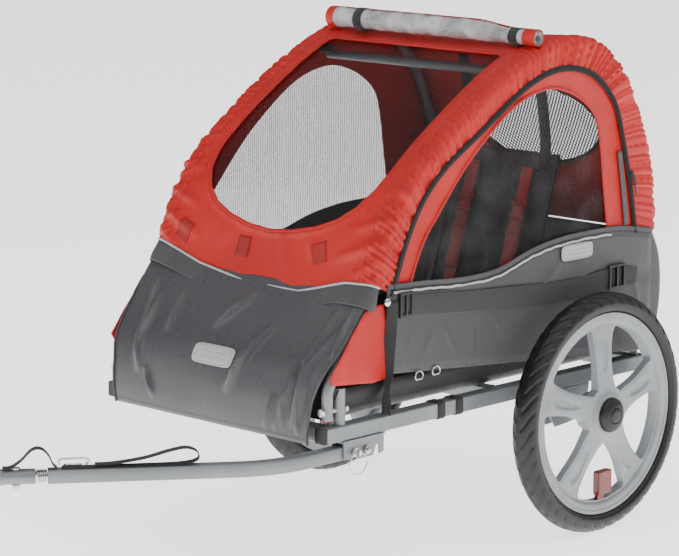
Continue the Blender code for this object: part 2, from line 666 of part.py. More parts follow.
def build_hitch():
    begin = ARM_AFTER + GAP
    turns = 4.5
    steps = 44
    across = Vector((-ARM_DIR.y, ARM_DIR.x, 0))
    wire = 0.0016
    helix = []
    for k in range(steps + 1):
        t = k / steps
        a = 2 * math.pi * turns * t
        along = begin + wire + (SPRING_LEN - 2 * wire - 2 * GAP) * t
        helix.append(arm_point(along) + across * (0.0088 * math.cos(a)) + Vector((0, 0, 0.0088 * math.sin(a))))
    spring = sweep("hitch_spring", helix, circle(wire, 6), zinc())
    flex = arm_point(ARM_AFTER + SPRING_LEN / 2)
    base = arm_point(ARM_AFTER + SPRING_LEN)
    profile = [(0, 0), (0.0105, 0), (COUPLER_R, 0.0015), (COUPLER_R, COUPLER_LEN - 0.0060),
               (0.0128, COUPLER_LEN - 0.0058), (0.0128, COUPLER_LEN - 0.0010), (0.0118, COUPLER_LEN),
               (0, COUPLER_LEN)]
    coupler = lathe("coupler", profile, base, steel(), 32, False, ARM_DIR)
    spot = arm_point(ARM_AFTER + SPRING_LEN + 0.0300)
    up = Vector((0, 0, 1))
    cut(coupler, rod("bore", spot - up * 0.02, spot + up * 0.02, 0.0042, steel(), 16))
    bolt = rod("bolt", spot - up * 0.0150, spot + up * 0.0150, 0.0040, zinc(), 16)
    join(bolt, rod("head", spot + up * 0.0123, spot + up * 0.0140, 0.0068, zinc(), 20),
         rod("nut", spot - up * 0.0175, spot - up * 0.0123, 0.0068, zinc(), 6))
    bolt.name = "coupler_bolt"
    set_origin([spring, coupler, bolt], flex)


def strip(name, path, width, thick, mat, up):
    """A flat strap: thick along up x travel, width along the other way."""
    return sweep(name, path, [(-thick / 2, -width / 2), (thick / 2, -width / 2), (thick / 2, width / 2),
                              (-thick / 2, width / 2)], mat, up=up)


def build_safety_strap():
    across = Vector((-ARM_DIR.y, ARM_DIR.x, 0))
    arc = spline([(0.4140, 0.0144), (0.4020, 0.0150), (0.3860, 0.0250), (0.3700, 0.0410), (0.3560, 0.0430),
                  (0.3450, 0.0330), (0.3380, 0.0180), (0.3320, 0.0130)], 22)
    front = strip("safety_strap_front", [arm_point(s, h) for s, h in arc], 0.0180, 0.0014, black_web(), across)
    band = spline([(0.2750, 0.0160), (0.2450, 0.0170), (0.2000, 0.0235), (0.1600, 0.0340), (0.1350, 0.0375),
                   (0.1190, 0.0300), (0.1200, 0.0185), (0.1450, 0.0135), (0.2000, 0.0125),
                  (0.3250, 0.0125)], 40)
    loop = strip("safety_strap_loop", [arm_point(s, h) for s, h in band], 0.0180, 0.0014, black_web(), across)
    ring = [(0.3280, 0.0165), (0.3290, 0.0210), (0.3250, 0.0250), (0.3060, 0.0255), (0.2900, 0.0255),
            (0.2845, 0.0230), (0.2845, 0.0190), (0.2890, 0.0165), (0.3200, 0.0165)]
    hook = sweep("snap_hook", [arm_point(s, h) for s, h in spline(ring[:-1], 24)], circle(0.0019, 8),
                 material("chrome", (0.75, 0.75, 0.76), 0.15, 1.0))
    gate = sweep("snap_gate", [arm_point(0.2945, 0.0165), arm_point(0.3225, 0.0165)], circle(0.0015, 8),
                 material("chrome", (0.75, 0.75, 0.76), 0.15, 1.0))
    set_origin([front, loop], (ARM_PIVOT_X, RAIL_MID, ARM_Z))
    set_origin([hook, gate], arm_point(0.2945, 0.0165))


def cover_solid(name, radius):
    """The space inside the arches, grown by a radius round their tubes."""
    line = [p for p in arch_curve() if p[1] > 0.400]
    angles = np.radians([90, 60, 32, 10])
    stations = [(ARCH_Y + radius * math.sin(a), radius * math.cos(a)) for a in angles]
    stations += [(ARCH_Y - 0.004, radius)]
    stations = stations + [(-y, off) for y, off in stations[::-1]]
    verts, faces = [], []
    count = len(line)
    for y, off in stations:
        verts += [(x, y, z) for x, z in offset(line, off)]
    for i in range(len(stations) - 1):
        for k in range(count):
            m = (k + 1) % count
            faces.append((i * count + k, i * count + m, (i + 1) * count + m, (i + 1) * count + k))
    last = (len(stations) - 1) * count
    faces += [tuple(range(count)), tuple(range(last + count - 1, last - 1, -1))]
    return make(name, verts, faces, red_cloth())


def cover_shell(name):
    shell = cut(cover_solid(name, COVER_OUT), cover_solid("inside", COVER_IN))
    return cut(shell, prism("below", SIDE_TOP + [(-0.30, 0.20), (0.70, 0.20)], 1, -0.40, 0.40, red_cloth()))


def front_outline(shift=0.0):
    low = [(-0.2000, 0.6300), (-0.1900, 0.6010), (-0.1700, 0.5750), (-0.1400, 0.5540), (-0.1000, 0.5390),
           (-0.0500, 0.5290), (0.0000, 0.5255), (0.0500, 0.5290), (0.1000, 0.5390), (0.1400, 0.5540),
           (0.1700, 0.5750), (0.1900, 0.6010), (0.2000, 0.6300)]
    return shrink(low + [(0.2000, 0.9000), (-0.2000, 0.9000)], shift)


def rear_outline(shift=0.0):
    turn = np.linspace(0, 2 * math.pi, 28, endpoint=False)
    return [((0.150 - shift) * math.cos(a), 0.645 + (0.078 - shift) * math.sin(a)) for a in turn]


def build_cover():
    cover = cover_shell("cover")
    cut(cover, prism("front", front_outline(), 0, 0.1100, 0.75, red_cloth()),
        prism("rear", rear_outline(), 0, -0.35, -0.10, red_cloth()),
        prism("left", WINDOW, 1, 0.2470, 0.2700, red_cloth()),
        prism("right", WINDOW, 1, -0.2700, -0.2470, red_cloth()))
    cover.name = "cover"
    pieces = [cover]
    inset = 0.0005
    vinyl = material("clear_vinyl", (0.75, 0.77, 0.78), 0.12, 0.0, 0.25)
    cutters = {
        "window_left": (prism("left", shrink(WINDOW, inset), 1, 0.2480, 0.2700, red_cloth()), vinyl),
        "window_right": (prism("right", shrink(WINDOW, inset), 1, -0.2700, -0.2480, red_cloth()), mesh_cloth()),
        "rear_window": (prism("rear", rear_outline(inset), 0, -0.35, -0.101, red_cloth()), mesh_cloth()),
        "front_screen": (prism("front", front_outline(inset), 0, 0.1108, 0.75, red_cloth()), mesh_cloth()),
    }
    for name, (cutter, mat) in cutters.items():
        pane = keep(cover_shell("pane"), cutter)
        pane.name = name
        pane.data.materials.clear()
        pane.data.materials.append(mat)
        pieces.append(pane)
    set_origin(pieces, (0.2000, 0, FOLD_Z))
    roll = sweep("rain_cover_roll", [(0.0870, -0.2250, 0.8405), (0.0870, 0.2050, 0.8405)], circle(0.0190, 20),
                 red_cloth())
    set_origin([roll], (0.0870, 0, 0.8405))


def thicken(line, thickness):
    """A closed outline round an open 2D line, with the thickness on one side."""
    line = np.asarray(line, float)
    return [tuple(p) for p in line] + [tuple(p) for p in offset(line, -thickness)[::-1]]


def build_panels():
    for side in (1, -1):
        top = [(x, z - 0.0006) for x, z in SIDE_TOP[1:-1]]
        outline = [(0.4560, 0.4640)] + top + [(-0.2050, 0.4800), (-0.2050, 0.2730), (0.1000, 0.2990),
                                              (0.4560, 0.3310)]
        low, high = sorted((side * 0.2518, side * 0.2543))
        panel = prism(mirror_name("side_panel", side), outline, 1, low, high, grey_cloth())
        set_origin([panel], (0.2000, side * ARCH_Y, FOLD_Z))
    front = spline([(0.4905, 0.4615), (0.5075, 0.4400), (0.5470, 0.3880), (0.5830, 0.3460), (0.5965, 0.3100),
                    (0.6030, 0.2700), (0.6020, 0.2420), (0.5985, 0.2330)], 18)
    panel = prism("front_panel", thicken(front, 0.0025), 1, -0.30, 0.30, grey_cloth())
    edge = [(0.2260, 0.2000), (0.2260, 0.2600), (0.2290, 0.3050), (0.2520, 0.3450), (0.2520, 0.5000)]
    face = [(-y, z) for y, z in edge] + edge[::-1]
    keep(panel, prism("face", face, 0, 0.40, 0.70, grey_cloth()))
    panel.name = "front_panel"
    rear = spline([(-0.2225, 0.4750), (-0.2420, 0.4300), (-0.2470, 0.3700), (-0.2380, 0.3100),
                   (-0.2200, 0.2740)], 12)
    back = prism("rear_panel", thicken(rear, 0.0025), 1, -0.2512, 0.2512, grey_cloth())
    floor = block("floor_panel", (-0.1900, -RAIL_IN + 0.0010, RAIL_TOP + 0.0008),
                  (0.5850, RAIL_IN - 0.0010, RAIL_TOP + 0.0038), black_cloth())
    set_origin([panel, back, floor], (0.2000, 0, RAIL_TOP))


def build_seat():
    cushion = block("seat_cushion", (-0.0200, -0.1120, RAIL_TOP + 0.0042), (0.1600, 0.1120, 0.3100),
                    grey_cloth(), 0.0080)
    line = spline([(-0.1250, 0.6050), (-0.1120, 0.5600), (-0.0800, 0.4600), (-0.0520, 0.3700),
                   (-0.0300, 0.3260), (0.0100, 0.3150), (0.1000, 0.3160), (0.1600, 0.3150),
                   (0.1720, 0.3000), (0.1750, 0.2720)], 30)
    seat = prism("seat_sling", thicken(line, -0.0030), 1, -0.1150, 0.1150, grey_cloth())
    for y in (-0.0850, 0.0850):
        middle = offset(line, 0.0015)
        path = spline([tuple(middle[2]), tuple(middle[0]), (-0.1150, 0.6220), (0.0300, 0.7140),
                       (0.0880, 0.7530)], 12)
        join(seat, strip("strap", [(x, y, z) for x, z in path], 0.0240, 0.0020, grey_cloth(), (0, 1, 0)))
    seat.name = "seat_sling"
    line = spline([(-0.1040, 0.5800), (-0.0940, 0.5500), (-0.0640, 0.4580), (-0.0360, 0.3720),
                   (-0.0150, 0.3340)], 14)
    left = strip("harness", [(x, 0.0620, z) for x, z in line], 0.0240, 0.0018, red_cloth(), (0, 1, 0))
    right = strip("harness", [(x, -0.0620, z) for x, z in line], 0.0240, 0.0018, red_cloth(), (0, 1, 0))
    x, z = line[6]
    join(left, right,
         block("clip", (x - 0.0030, -0.0700, z - 0.0150), (x + 0.0070, 0.0700, z + 0.0150), black_plastic(),
               0.0020))
    left.name = "harness"
    set_origin([cushion, seat, left], (0.0700, 0, RAIL_TOP))


def main():
    for obj in list(bpy.data.objects):
        bpy.data.objects.remove(obj)
    build_rails()
    build_pivots()
    build_side_frames()
    build_spreader()
    build_axle_brackets()
    for side in (1, -1):
        build_wheel(side)
    build_tow_bracket()
    build_tow_arm()
    build_hitch()
    build_safety_strap()
    build_cover()
    build_panels()
    build_seat()


main()
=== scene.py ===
"""Builds the finished look of a single-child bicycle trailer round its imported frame.

Lengths are metres in the frame's own axes: +X is the way it travels, +Y its left side, +Z up.
Stations along X are written from the wheel axle, as AXLE_X + distance.
"""

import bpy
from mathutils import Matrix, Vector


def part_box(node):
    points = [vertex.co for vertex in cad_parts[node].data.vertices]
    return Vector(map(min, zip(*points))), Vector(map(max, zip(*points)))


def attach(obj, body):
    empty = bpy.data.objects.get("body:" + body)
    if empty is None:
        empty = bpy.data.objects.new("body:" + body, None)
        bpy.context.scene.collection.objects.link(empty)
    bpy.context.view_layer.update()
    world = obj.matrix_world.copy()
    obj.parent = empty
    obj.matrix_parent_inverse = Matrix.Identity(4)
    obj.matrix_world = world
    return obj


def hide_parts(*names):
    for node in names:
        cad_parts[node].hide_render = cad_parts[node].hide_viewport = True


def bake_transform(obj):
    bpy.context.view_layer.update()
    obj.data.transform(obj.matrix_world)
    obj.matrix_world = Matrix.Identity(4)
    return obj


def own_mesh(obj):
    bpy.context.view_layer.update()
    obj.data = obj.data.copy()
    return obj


bl_info = {
    "name": "Child Bicycle Trailer",
    "version": (1, 0, 0),
    "blender": (4, 5, 0),
    "location": "View3D > Sidebar > Trailer",
    "description": "Cloth, wheels, webbing and finishes for a folding child bicycle trailer",
    "category": "Add Mesh",
}

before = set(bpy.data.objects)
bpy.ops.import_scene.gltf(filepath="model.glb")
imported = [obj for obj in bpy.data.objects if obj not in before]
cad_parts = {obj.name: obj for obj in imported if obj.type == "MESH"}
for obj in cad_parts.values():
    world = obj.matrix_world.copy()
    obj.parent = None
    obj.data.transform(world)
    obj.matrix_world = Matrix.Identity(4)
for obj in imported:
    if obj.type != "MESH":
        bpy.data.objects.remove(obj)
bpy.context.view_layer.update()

import math

import bmesh
import bpy
import numpy as np
from mathutils import Matrix, Vector
from mathutils.geometry import delaunay_2d_cdt


def middle(node):
    low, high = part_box(node)
    return (low + high) / 2


AXLE_X = middle("axle_left").x
AXLE_Z = middle("axle_left").z
WHEEL_Y = middle("tyre_left").y
ARCH_Y = middle("side_frame_left").y
ARCH_R = (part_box("side_frame_left")[1].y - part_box("side_frame_left")[0].y) / 2
RAIL_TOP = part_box("cross_tube_front")[1].z
RAIL_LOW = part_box("cross_tube_front")[0].z
RAIL_MID = middle("plug_front_left").y
ARM_Z = middle("arm_pivot_bolt").z
FLOOR_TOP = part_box("floor_panel")[1].z

COVER_R = 0.0131
ARCH_LINE = [
    (0.575, 0.274), (0.575, 0.300), (0.573, 0.323), (0.550, 0.357), (0.500, 0.422), (0.470, 0.480),
    (0.448, 0.535), (0.408, 0.597), (0.352, 0.650), (0.262, 0.712), (0.160, 0.771),
    (0.065, 0.808), (0.000, 0.815), (-0.062, 0.800), (-0.120, 0.755), (-0.162, 0.686),
    (-0.192, 0.605), (-0.207, 0.530), (-0.207, 0.460), (-0.192, 0.375), (-0.165, 0.300),
    (-0.165, 0.274),
]
ZIPPER_LINE = [
    (0.4500, 0.4450), (0.4220, 0.5150), (0.3990, 0.5600), (0.3690, 0.6030), (0.3180, 0.6470),
    (0.2380, 0.6930), (0.1580, 0.7400), (0.1040, 0.7650), (0.0540, 0.7770), (0.0030, 0.7750),
    (-0.0490, 0.7570), (-0.0980, 0.7100), (-0.1240, 0.6400), (-0.1450, 0.5570), (-0.1610, 0.4780),
    (-0.1770, 0.4060),
]
WINDOW_LINE = [
    (0.4050, 0.4600), (0.3740, 0.5260), (0.3370, 0.5710), (0.2900, 0.6230), (0.2500, 0.6600),
    (0.1860, 0.7080), (0.1320, 0.7360), (0.0750, 0.7480), (0.0320, 0.7430), (-0.0150, 0.7230),
    (-0.0520, 0.6900), (-0.0660, 0.6420), (-0.0740, 0.5840), (-0.0870, 0.5000), (-0.0910, 0.4820),
]
SIDE_TOP = [
    (0.4560, 0.4690), (0.4450, 0.4690), (0.3780, 0.4660), (0.2740, 0.4590), (0.1920, 0.4630),
    (0.1100, 0.4840), (0.0240, 0.4950), (-0.0910, 0.4960), (-0.1500, 0.4900), (-0.2050, 0.4800),
]
PIPING_DROP = [(-0.2550, 0.4860), (-0.2360, 0.4840), (-0.1360, 0.4600), (-0.0250, 0.4450), (0.1000, 0.4440),
               (0.1930, 0.4680), (0.2550, 0.4710)]
FRONT_LINE = [(0.4905, 0.4615), (0.5075, 0.4400), (0.5470, 0.3880), (0.5830, 0.3460), (0.5965, 0.3100),
              (0.6030, 0.2700), (0.6020, 0.2420), (0.5985, 0.2330)]
REAR_LINE = [(-0.2225, 0.4750), (-0.2420, 0.4300), (-0.2470, 0.3700), (-0.2380, 0.3100), (-0.2200, 0.2740)]

# ---------------------------------------------------------------------------------------------
# Curves and meshes
# ---------------------------------------------------------------------------------------------


def smooth_line(points, steps=12):
    """A smooth curve through the points, resampled at even steps of length."""
    pts = np.asarray(points, float)
    ext = np.vstack([2 * pts[0] - pts[1], pts, 2 * pts[-1] - pts[-2]])
    dense = []
    for i in range(len(pts) - 1):
        a, b, c, d = ext[i:i + 4]
        t = np.linspace(0, 1, steps, endpoint=False)[:, None]
        dense.append(0.5 * (2 * b + (c - a) * t + (2 * a - 5 * b + 4 * c - d) * t * t
                            + (3 * b - a - 3 * c + d) * t ** 3))
    return np.vstack(dense + [pts[-1:]])


def run_of(line):
    return np.r_[0, np.cumsum(np.linalg.norm(np.diff(line, axis=0), axis=1))]


def resample(line, pitch, closed=False):
    """The same line with points about a pitch apart."""
    line = np.asarray(line, float)
    if closed:
        line = np.vstack([line, line[:1]])
    run = run_of(line)
    count = max(2, int(round(run[-1] / pitch)) + 1)
    want = np.linspace(0, run[-1], count)
    out = np.stack([np.interp(want, run, line[:, k]) for k in range(line.shape[1])], axis=1)
    return out[:-1] if closed else out


def cut_edge(outline, pitch):
    """A closed outline with points about a pitch apart that keeps its sharp corners."""
    line = np.asarray(outline, float)
    ahead = np.roll(line, -1, axis=0) - line
    behind = line - np.roll(line, 1, axis=0)
    cross = behind[:, 0] * ahead[:, 1] - behind[:, 1] * ahead[:, 0]
    corner = np.abs(np.arctan2(cross, (behind * ahead).sum(1))) > 0.45
    if not corner.any():
        return resample(line, pitch, True)
    first = int(np.argmax(corner))
    line, corner = np.roll(line, -first, axis=0), np.roll(corner, -first)
    line, stops = np.vstack([line, line[:1]]), list(np.flatnonzero(corner)) + [len(line)]
    return np.vstack([resample(line[a:b + 1], pitch)[:-1] for a, b in zip(stops, stops[1:])])



def inside(points, outline):
    """Which points lie inside a closed outline."""
    x, y = points[:, 0], points[:, 1]
    hit = np.zeros(len(points), bool)
    a = np.asarray(outline, float)
    b = np.roll(a, -1, axis=0)
    for (x0, y0), (x1, y1) in zip(a, b):
        if y0 == y1:
            continue
        cross = (y0 > y) != (y1 > y)
        hit ^= cross & (x < (x1 - x0) * (y - y0) / (y1 - y0) + x0)
    return hit


def distance_to(points, line, closed=False):
    """How far each point is from a line."""
    a = np.asarray(line, float)
    b = np.roll(a, -1, axis=0) if closed else a[1:]
    a = a if closed else a[:-1]
    best = np.full(len(points), 9.0)
    for p, q in zip(a, b):
        d = q - p
        t = np.clip(((points - p) @ d) / max(d @ d, 1e-12), 0, 1)
        best = np.minimum(best, np.linalg.norm(points - p - t[:, None] * d, axis=1))
    return best


def cut_pattern(outline, holes=(), pitch=0.006):
    """Triangles over a flat outline with holes: points on its edges and on a lattice inside."""
    loops = [cut_edge(outline, pitch)] + [cut_edge(h, pitch) for h in holes]
    low, high = loops[0].min(0), loops[0].max(0)
    rise = pitch * math.sqrt(3) / 2
    rows = int((high[1] - low[1]) / rise) + 2
    cols = int((high[0] - low[0]) / pitch) + 2
    i, j = np.meshgrid(np.arange(cols), np.arange(rows))
    lattice = np.stack([low[0] + (i + 0.5 * (j % 2)) * pitch, low[1] + j * rise], axis=-1).reshape(-1, 2)
    keep = inside(lattice, loops[0])
    for loop in loops[1:]:
        keep &= ~inside(lattice, loop)
    lattice = lattice[keep]
    for loop in loops:
        lattice = lattice[distance_to(lattice, loop, True) > 0.55 * pitch]
    points, edges = [], []
    for loop in loops:
        start = len(points)
        points += [tuple(p) for p in loop]
        edges += [(start + k, start + (k + 1) % len(loop)) for k in range(len(loop))]
    points += [tuple(p) for p in lattice]
    made = delaunay_2d_cdt([Vector(p) for p in points], edges, [], 0, 1e-6)
    flat = np.array([tuple(v) for v in made[0]])
    faces = np.array([f for f in made[2] if len(f) == 3])
    centre = flat[faces].mean(1)
    good = inside(centre, loops[0])
    for loop in loops[1:]:
        good &= ~inside(centre, loop)
    faces = faces[good]
    a, b, c = flat[faces[:, 0]], flat[faces[:, 1]], flat[faces[:, 2]]
    area = (b[:, 0] - a[:, 0]) * (c[:, 1] - a[:, 1]) - (b[:, 1] - a[:, 1]) * (c[:, 0] - a[:, 0])
    faces = faces[abs(area) > 1e-10]
    area = area[abs(area) > 1e-10]
    faces[area < 0] = faces[area < 0][:, ::-1]
    return flat, faces


def new_piece(name, verts, faces, material, uv=None):
    """A smooth-shaded mesh object at the origin; uv holds one pair for each vertex, in metres."""
    mesh = bpy.data.meshes.new(name)
    mesh.from_pydata([tuple(v) for v in verts], [], [tuple(int(i) for i in f) for f in faces])
    mesh.materials.append(material)
    if uv is not None:
        layer = mesh.uv_layers.new(name="Cloth")
        index = np.zeros(len(mesh.loops), np.int32)
        mesh.loops.foreach_get("vertex_index", index)
        layer.data.foreach_set("uv", np.asarray(uv, np.float32)[index].ravel())
    mesh.shade_smooth()
    obj = bpy.data.objects.new(name, mesh)
    bpy.context.scene.collection.objects.link(obj)
    return obj


def bake(obj):
    """Replace an object by its evaluated mesh, with no modifiers left."""
    graph = bpy.context.evaluated_depsgraph_get()
    mesh = bpy.data.meshes.new_from_object(obj.evaluated_get(graph), depsgraph=graph)
    old = obj.data
    obj.modifiers.clear()
    obj.data = mesh
    mesh.name = obj.name
    if old.users == 0:
        bpy.data.meshes.remove(old)
    return obj


def thicken(obj, thickness, offset=-1.0):
    wall = obj.modifiers.new("Wall", "SOLIDIFY")
    wall.thickness = thickness
    wall.offset = offset
    wall.use_quality_normals = True
    return bake(obj)


def facing(obj, outward):
    """Turn the whole open sheet over when its mean normal points away from a direction."""
    mesh = obj.data
    normals = np.zeros(len(mesh.polygons) * 3)
    mesh.polygons.foreach_get("normal", normals)
    if normals.reshape(-1, 3).sum(0) @ np.array(outward) < 0:
        mesh.flip_normals()
    return obj


def repair_normals(obj):
    shape = bmesh.new()
    shape.from_mesh(obj.data)
    bmesh.ops.recalc_face_normals(shape, faces=shape.faces)
    shape.to_mesh(obj.data)
    shape.free()
    return obj


def join_pieces(name, pieces):
    """Several finished pieces as one object."""
    pieces = [p for p in pieces if p is not None]
    with bpy.context.temp_override(active_object=pieces[0], selected_editable_objects=pieces):
        bpy.ops.object.join()
    pieces[0].name = name
    pieces[0].data.name = name
    return pieces[0]


def circle(radius, count):
    turn = np.arange(count) * 2 * math.pi / count
    return np.stack([radius * np.cos(turn), radius * np.sin(turn)], axis=1)


def band(width, thick, round_over=0.3):
    """The section of a flat strap: width along the second axis."""
    r = min(thick, width) * round_over
    out = []
    for cx, cy, start in ((1, 1, 0), (-1, 1, 90), (-1, -1, 180), (1, -1, 270)):
        for a in (start, start + 45, start + 90):
            t = math.radians(a)
            out.append((cx * (thick / 2 - r) + r * math.cos(t), cy * (width / 2 - r) + r * math.sin(t)))
    return np.array(out)


def ribbon(width, thick, round_over=0.3):
    """The section of a flat tape: width along the first axis, for a sweep given the way its face looks."""
    return band(thick, width, round_over)


def sweep(name, path, section, material, up=None, closed=False, ends=None):
    """Sweep a section along a path; up holds one direction for the section's second axis, or one a point."""
    path = np.asarray(path, float)
    section = np.asarray(section, float)
    count, size = len(path), len(section)
    if closed:
        tangent = np.roll(path, -1, axis=0) - np.roll(path, 1, axis=0)
    else:
        tangent = np.gradient(path, axis=0)
    tangent /= np.linalg.norm(tangent, axis=1)[:, None]
    if up is None:
        helper = np.array([0, 1, 0.0]) if abs(tangent[0][1]) < 0.9 else np.array([0, 0, 1.0])
        side = np.zeros_like(path)
        side[0] = np.cross(helper, tangent[0])
        for k in range(1, count):
            side[k] = side[k - 1] - tangent[k] * (side[k - 1] @ tangent[k])
        side /= np.linalg.norm(side, axis=1)[:, None]
    else:
        side = np.cross(np.broadcast_to(np.asarray(up, float), path.shape), tangent)
        side /= np.linalg.norm(side, axis=1)[:, None]
    other = np.cross(tangent, side)
    scale = np.ones(count) if ends is None else np.asarray(ends, float)
    rings = (path[:, None] + side[:, None] * (section[:, 0] * 1.0)[None, :, None] * scale[:, None, None]
             + other[:, None] * (section[:, 1] * 1.0)[None, :, None] * scale[:, None, None])
    verts = rings.reshape(-1, 3)
    run = run_of(path)
    around = np.r_[0, np.cumsum(np.linalg.norm(np.diff(section, axis=0), axis=1))]
    uv = np.stack([np.repeat(run, size), np.tile(around, count)], axis=1)
    faces = []
    for i in range(count if closed else count - 1):
        j = (i + 1) % count
        for k in range(size):
            m = (k + 1) % size
            faces.append((i * size + k, j * size + k, j * size + m, i * size + m))
    if not closed:
        faces.append(tuple(range(size)))
        faces.append(tuple(range(count * size - 1, (count - 1) * size - 1, -1)))
    return repair_normals(new_piece(name, verts, faces, material, uv))


def lathe(name, profile, centre, axis, material, count=96):
    """Turn a profile of (radius, along) pairs about an axis through the centre."""
    axis = Vector(axis).normalized()
    across = axis.orthogonal().normalized()
    other = axis.cross(across)
    verts, faces = [], []
    for r, h in profile:
        for k in range(count):
            a = 2 * math.pi * k / count
            verts.append(Vector(centre) + axis * h + (across * math.cos(a) + other * math.sin(a)) * r)
    for i in range(len(profile) - 1):
        for k in range(count):
            m = (k + 1) % count
            faces.append((i * count + k, i * count + m, (i + 1) * count + m, (i + 1) * count + k))
    obj = new_piece(name, verts, faces, material)
    shape = bmesh.new()
    shape.from_mesh(obj.data)
    bmesh.ops.remove_doubles(shape, verts=shape.verts, dist=1e-6)
    bmesh.ops.holes_fill(shape, edges=[e for e in shape.edges if e.is_boundary], sides=0)
    bmesh.ops.recalc_face_normals(shape, faces=shape.faces)
    shape.to_mesh(obj.data)
    shape.free()
    obj.data.shade_smooth()
    obj.data.set_sharp_from_angle(angle=math.radians(40))
    return obj


def slab(name, low, high, material, bevel=0.0008):
    """A small block with rounded edges."""
    shape = bmesh.new()
    bmesh.ops.create_cube(shape, size=1.0)
    low, high = Vector(low), Vector(high)
    for v in shape.verts:
        v.co = Vector(((low[k] + high[k]) / 2 + v.co[k] * (high[k] - low[k]) for k in range(3)))
    bmesh.ops.bevel(shape, geom=shape.edges[:], offset=bevel, segments=2, profile=0.7, affect="EDGES")
    bmesh.ops.recalc_face_normals(shape, faces=shape.faces)
    mesh = bpy.data.meshes.new(name)
    shape.to_mesh(mesh)
    shape.free()
    mesh.materials.append(material)
    mesh.shade_smooth()
    mesh.set_sharp_from_angle(angle=math.radians(35))
    obj = bpy.data.objects.new(name, mesh)
    bpy.context.scene.collection.objects.link(obj)
    return obj


def turned(obj, matrix):
    obj.data.transform(matrix)
    return obj


def finish(obj, body, slot, *nodes):
    """Hand a finished piece to the frame: its body and the nodes it stands for; its finish (slot) is not used."""
    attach(obj, body)
    if nodes:
        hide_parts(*nodes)
    return obj


def hang(obj, flat, thickness, outward):
    """Turn a cut sheet to face outward, work out its flat size and area, and give it its thickness."""
    facing(obj, outward)
    area = sum(p.area for p in obj.data.polygons)
    width, length = sorted(np.ptp(np.asarray(flat, float), axis=0))
    if not 0.35 < area / (width * length) < 1:
        width = area / length * 1.01
    thicken(obj, thickness)
    return obj


def finish_side(obj, side, slot, *nodes):
    """Cloth sewn round a side frame, with its placement baked into its mesh."""
    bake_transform(obj)
    if nodes:
        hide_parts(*nodes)
    return obj


def finish_slack(obj, slot, *nodes, keep=0.12):
    """Cloth stretched between the side frames, hung on the frame."""
    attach(obj, "frame")
    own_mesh(obj)
    if nodes:
        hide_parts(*nodes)
    return obj


# ---------------------------------------------------------------------------------------------
# Folds
# ---------------------------------------------------------------------------------------------


def rise(value, low, high):
    t = np.clip((value - low) / (high - low), 0, 1)
    return t * t * (3 - 2 * t)


def ripple(run, pitch, seed):
    """Uneven waves along a gathered edge, from -1 to 1."""
    rng = np.random.default_rng(seed)
    out = np.zeros_like(run)
    for share, size in ((1.0, 0.62), (1.73, 0.30), (0.55, 0.38), (2.9, 0.14)):
        wander = 0.35 * pitch / share * np.sin(2 * math.pi * run / (pitch * rng.uniform(5, 9)) + rng.uniform(0, 6))
        out += size * np.sin(2 * math.pi * share * (run + wander) / pitch + rng.uniform(0, 6.28))
    return out


def crease(points, start, end, width, height):
    """A soft ridge from start to end that dies away at both ends."""
    a, b = np.array(start, float), np.array(end, float)
    d = b - a
    t = ((points - a) @ d) / (d @ d)
    off = np.linalg.norm(points - a - np.clip(t, 0, 1)[:, None] * d, axis=1)
    fade = 1 - (2 * np.clip(t, 0, 1) - 1) ** 2
    return height * np.exp(-(off / width) ** 2) * fade


def creases(points, rows):
    return sum(crease(points, *row) for row in rows)


def rumple(points, size, height, seed):
    """Slow unevenness of cloth that hangs a little slack."""
    rng = np.random.default_rng(seed)
    out = np.zeros(len(points))
    for _ in range(7):
        a = rng.uniform(0, math.pi)
        k = 2 * math.pi / (size * rng.uniform(0.6, 1.6))
        out += np.sin(k * (points[:, 0] * math.cos(a) + points[:, 1] * math.sin(a)) + rng.uniform(0, 6.28))
    return height * out / 7


# ---------------------------------------------------------------------------------------------
# Geometry Nodes: what repeats along a line or round a centre
# ---------------------------------------------------------------------------------------------


def geometry_tree(name, inputs):
    """A geometry node group with a mesh in and out and the named inputs given as (name, kind, value)."""
    tree = bpy.data.node_groups.new(name, "GeometryNodeTree")
    tree.interface.new_socket("Geometry", in_out="INPUT", socket_type="NodeSocketGeometry")
    for label, kind, value in inputs:
        socket = tree.interface.new_socket(label, in_out="INPUT", socket_type="NodeSocket" + kind)
        if value is not None:
            socket.default_value = value
    tree.interface.new_socket("Geometry", in_out="OUTPUT", socket_type="NodeSocketGeometry")
    return tree


def run_tree(obj, tree, values):
    """Apply a tree to an object with its inputs set by name, and keep the plain mesh."""
    made = obj.modifiers.new(tree.name, "NODES")
    made.node_group = tree
    names = {s.name: s.identifier for s in tree.interface.items_tree if s.in_out == "INPUT"}
    for label, value in values.items():
        made[names[label]] = value
    return bake(obj)


def lines_object(name, lines):
    """Open lines as the edges of one mesh, for a tree to follow."""
    verts, edges = [], []
    for line in lines:
        start = len(verts)
        verts += [tuple(p) for p in line]
        edges += [(start + k, start + k + 1) for k in range(len(line) - 1)]
    mesh = bpy.data.meshes.new(name)
    mesh.from_pydata(verts, edges, [])
    obj = bpy.data.objects.new(name, mesh)
    bpy.context.scene.collection.objects.link(obj)
    return obj


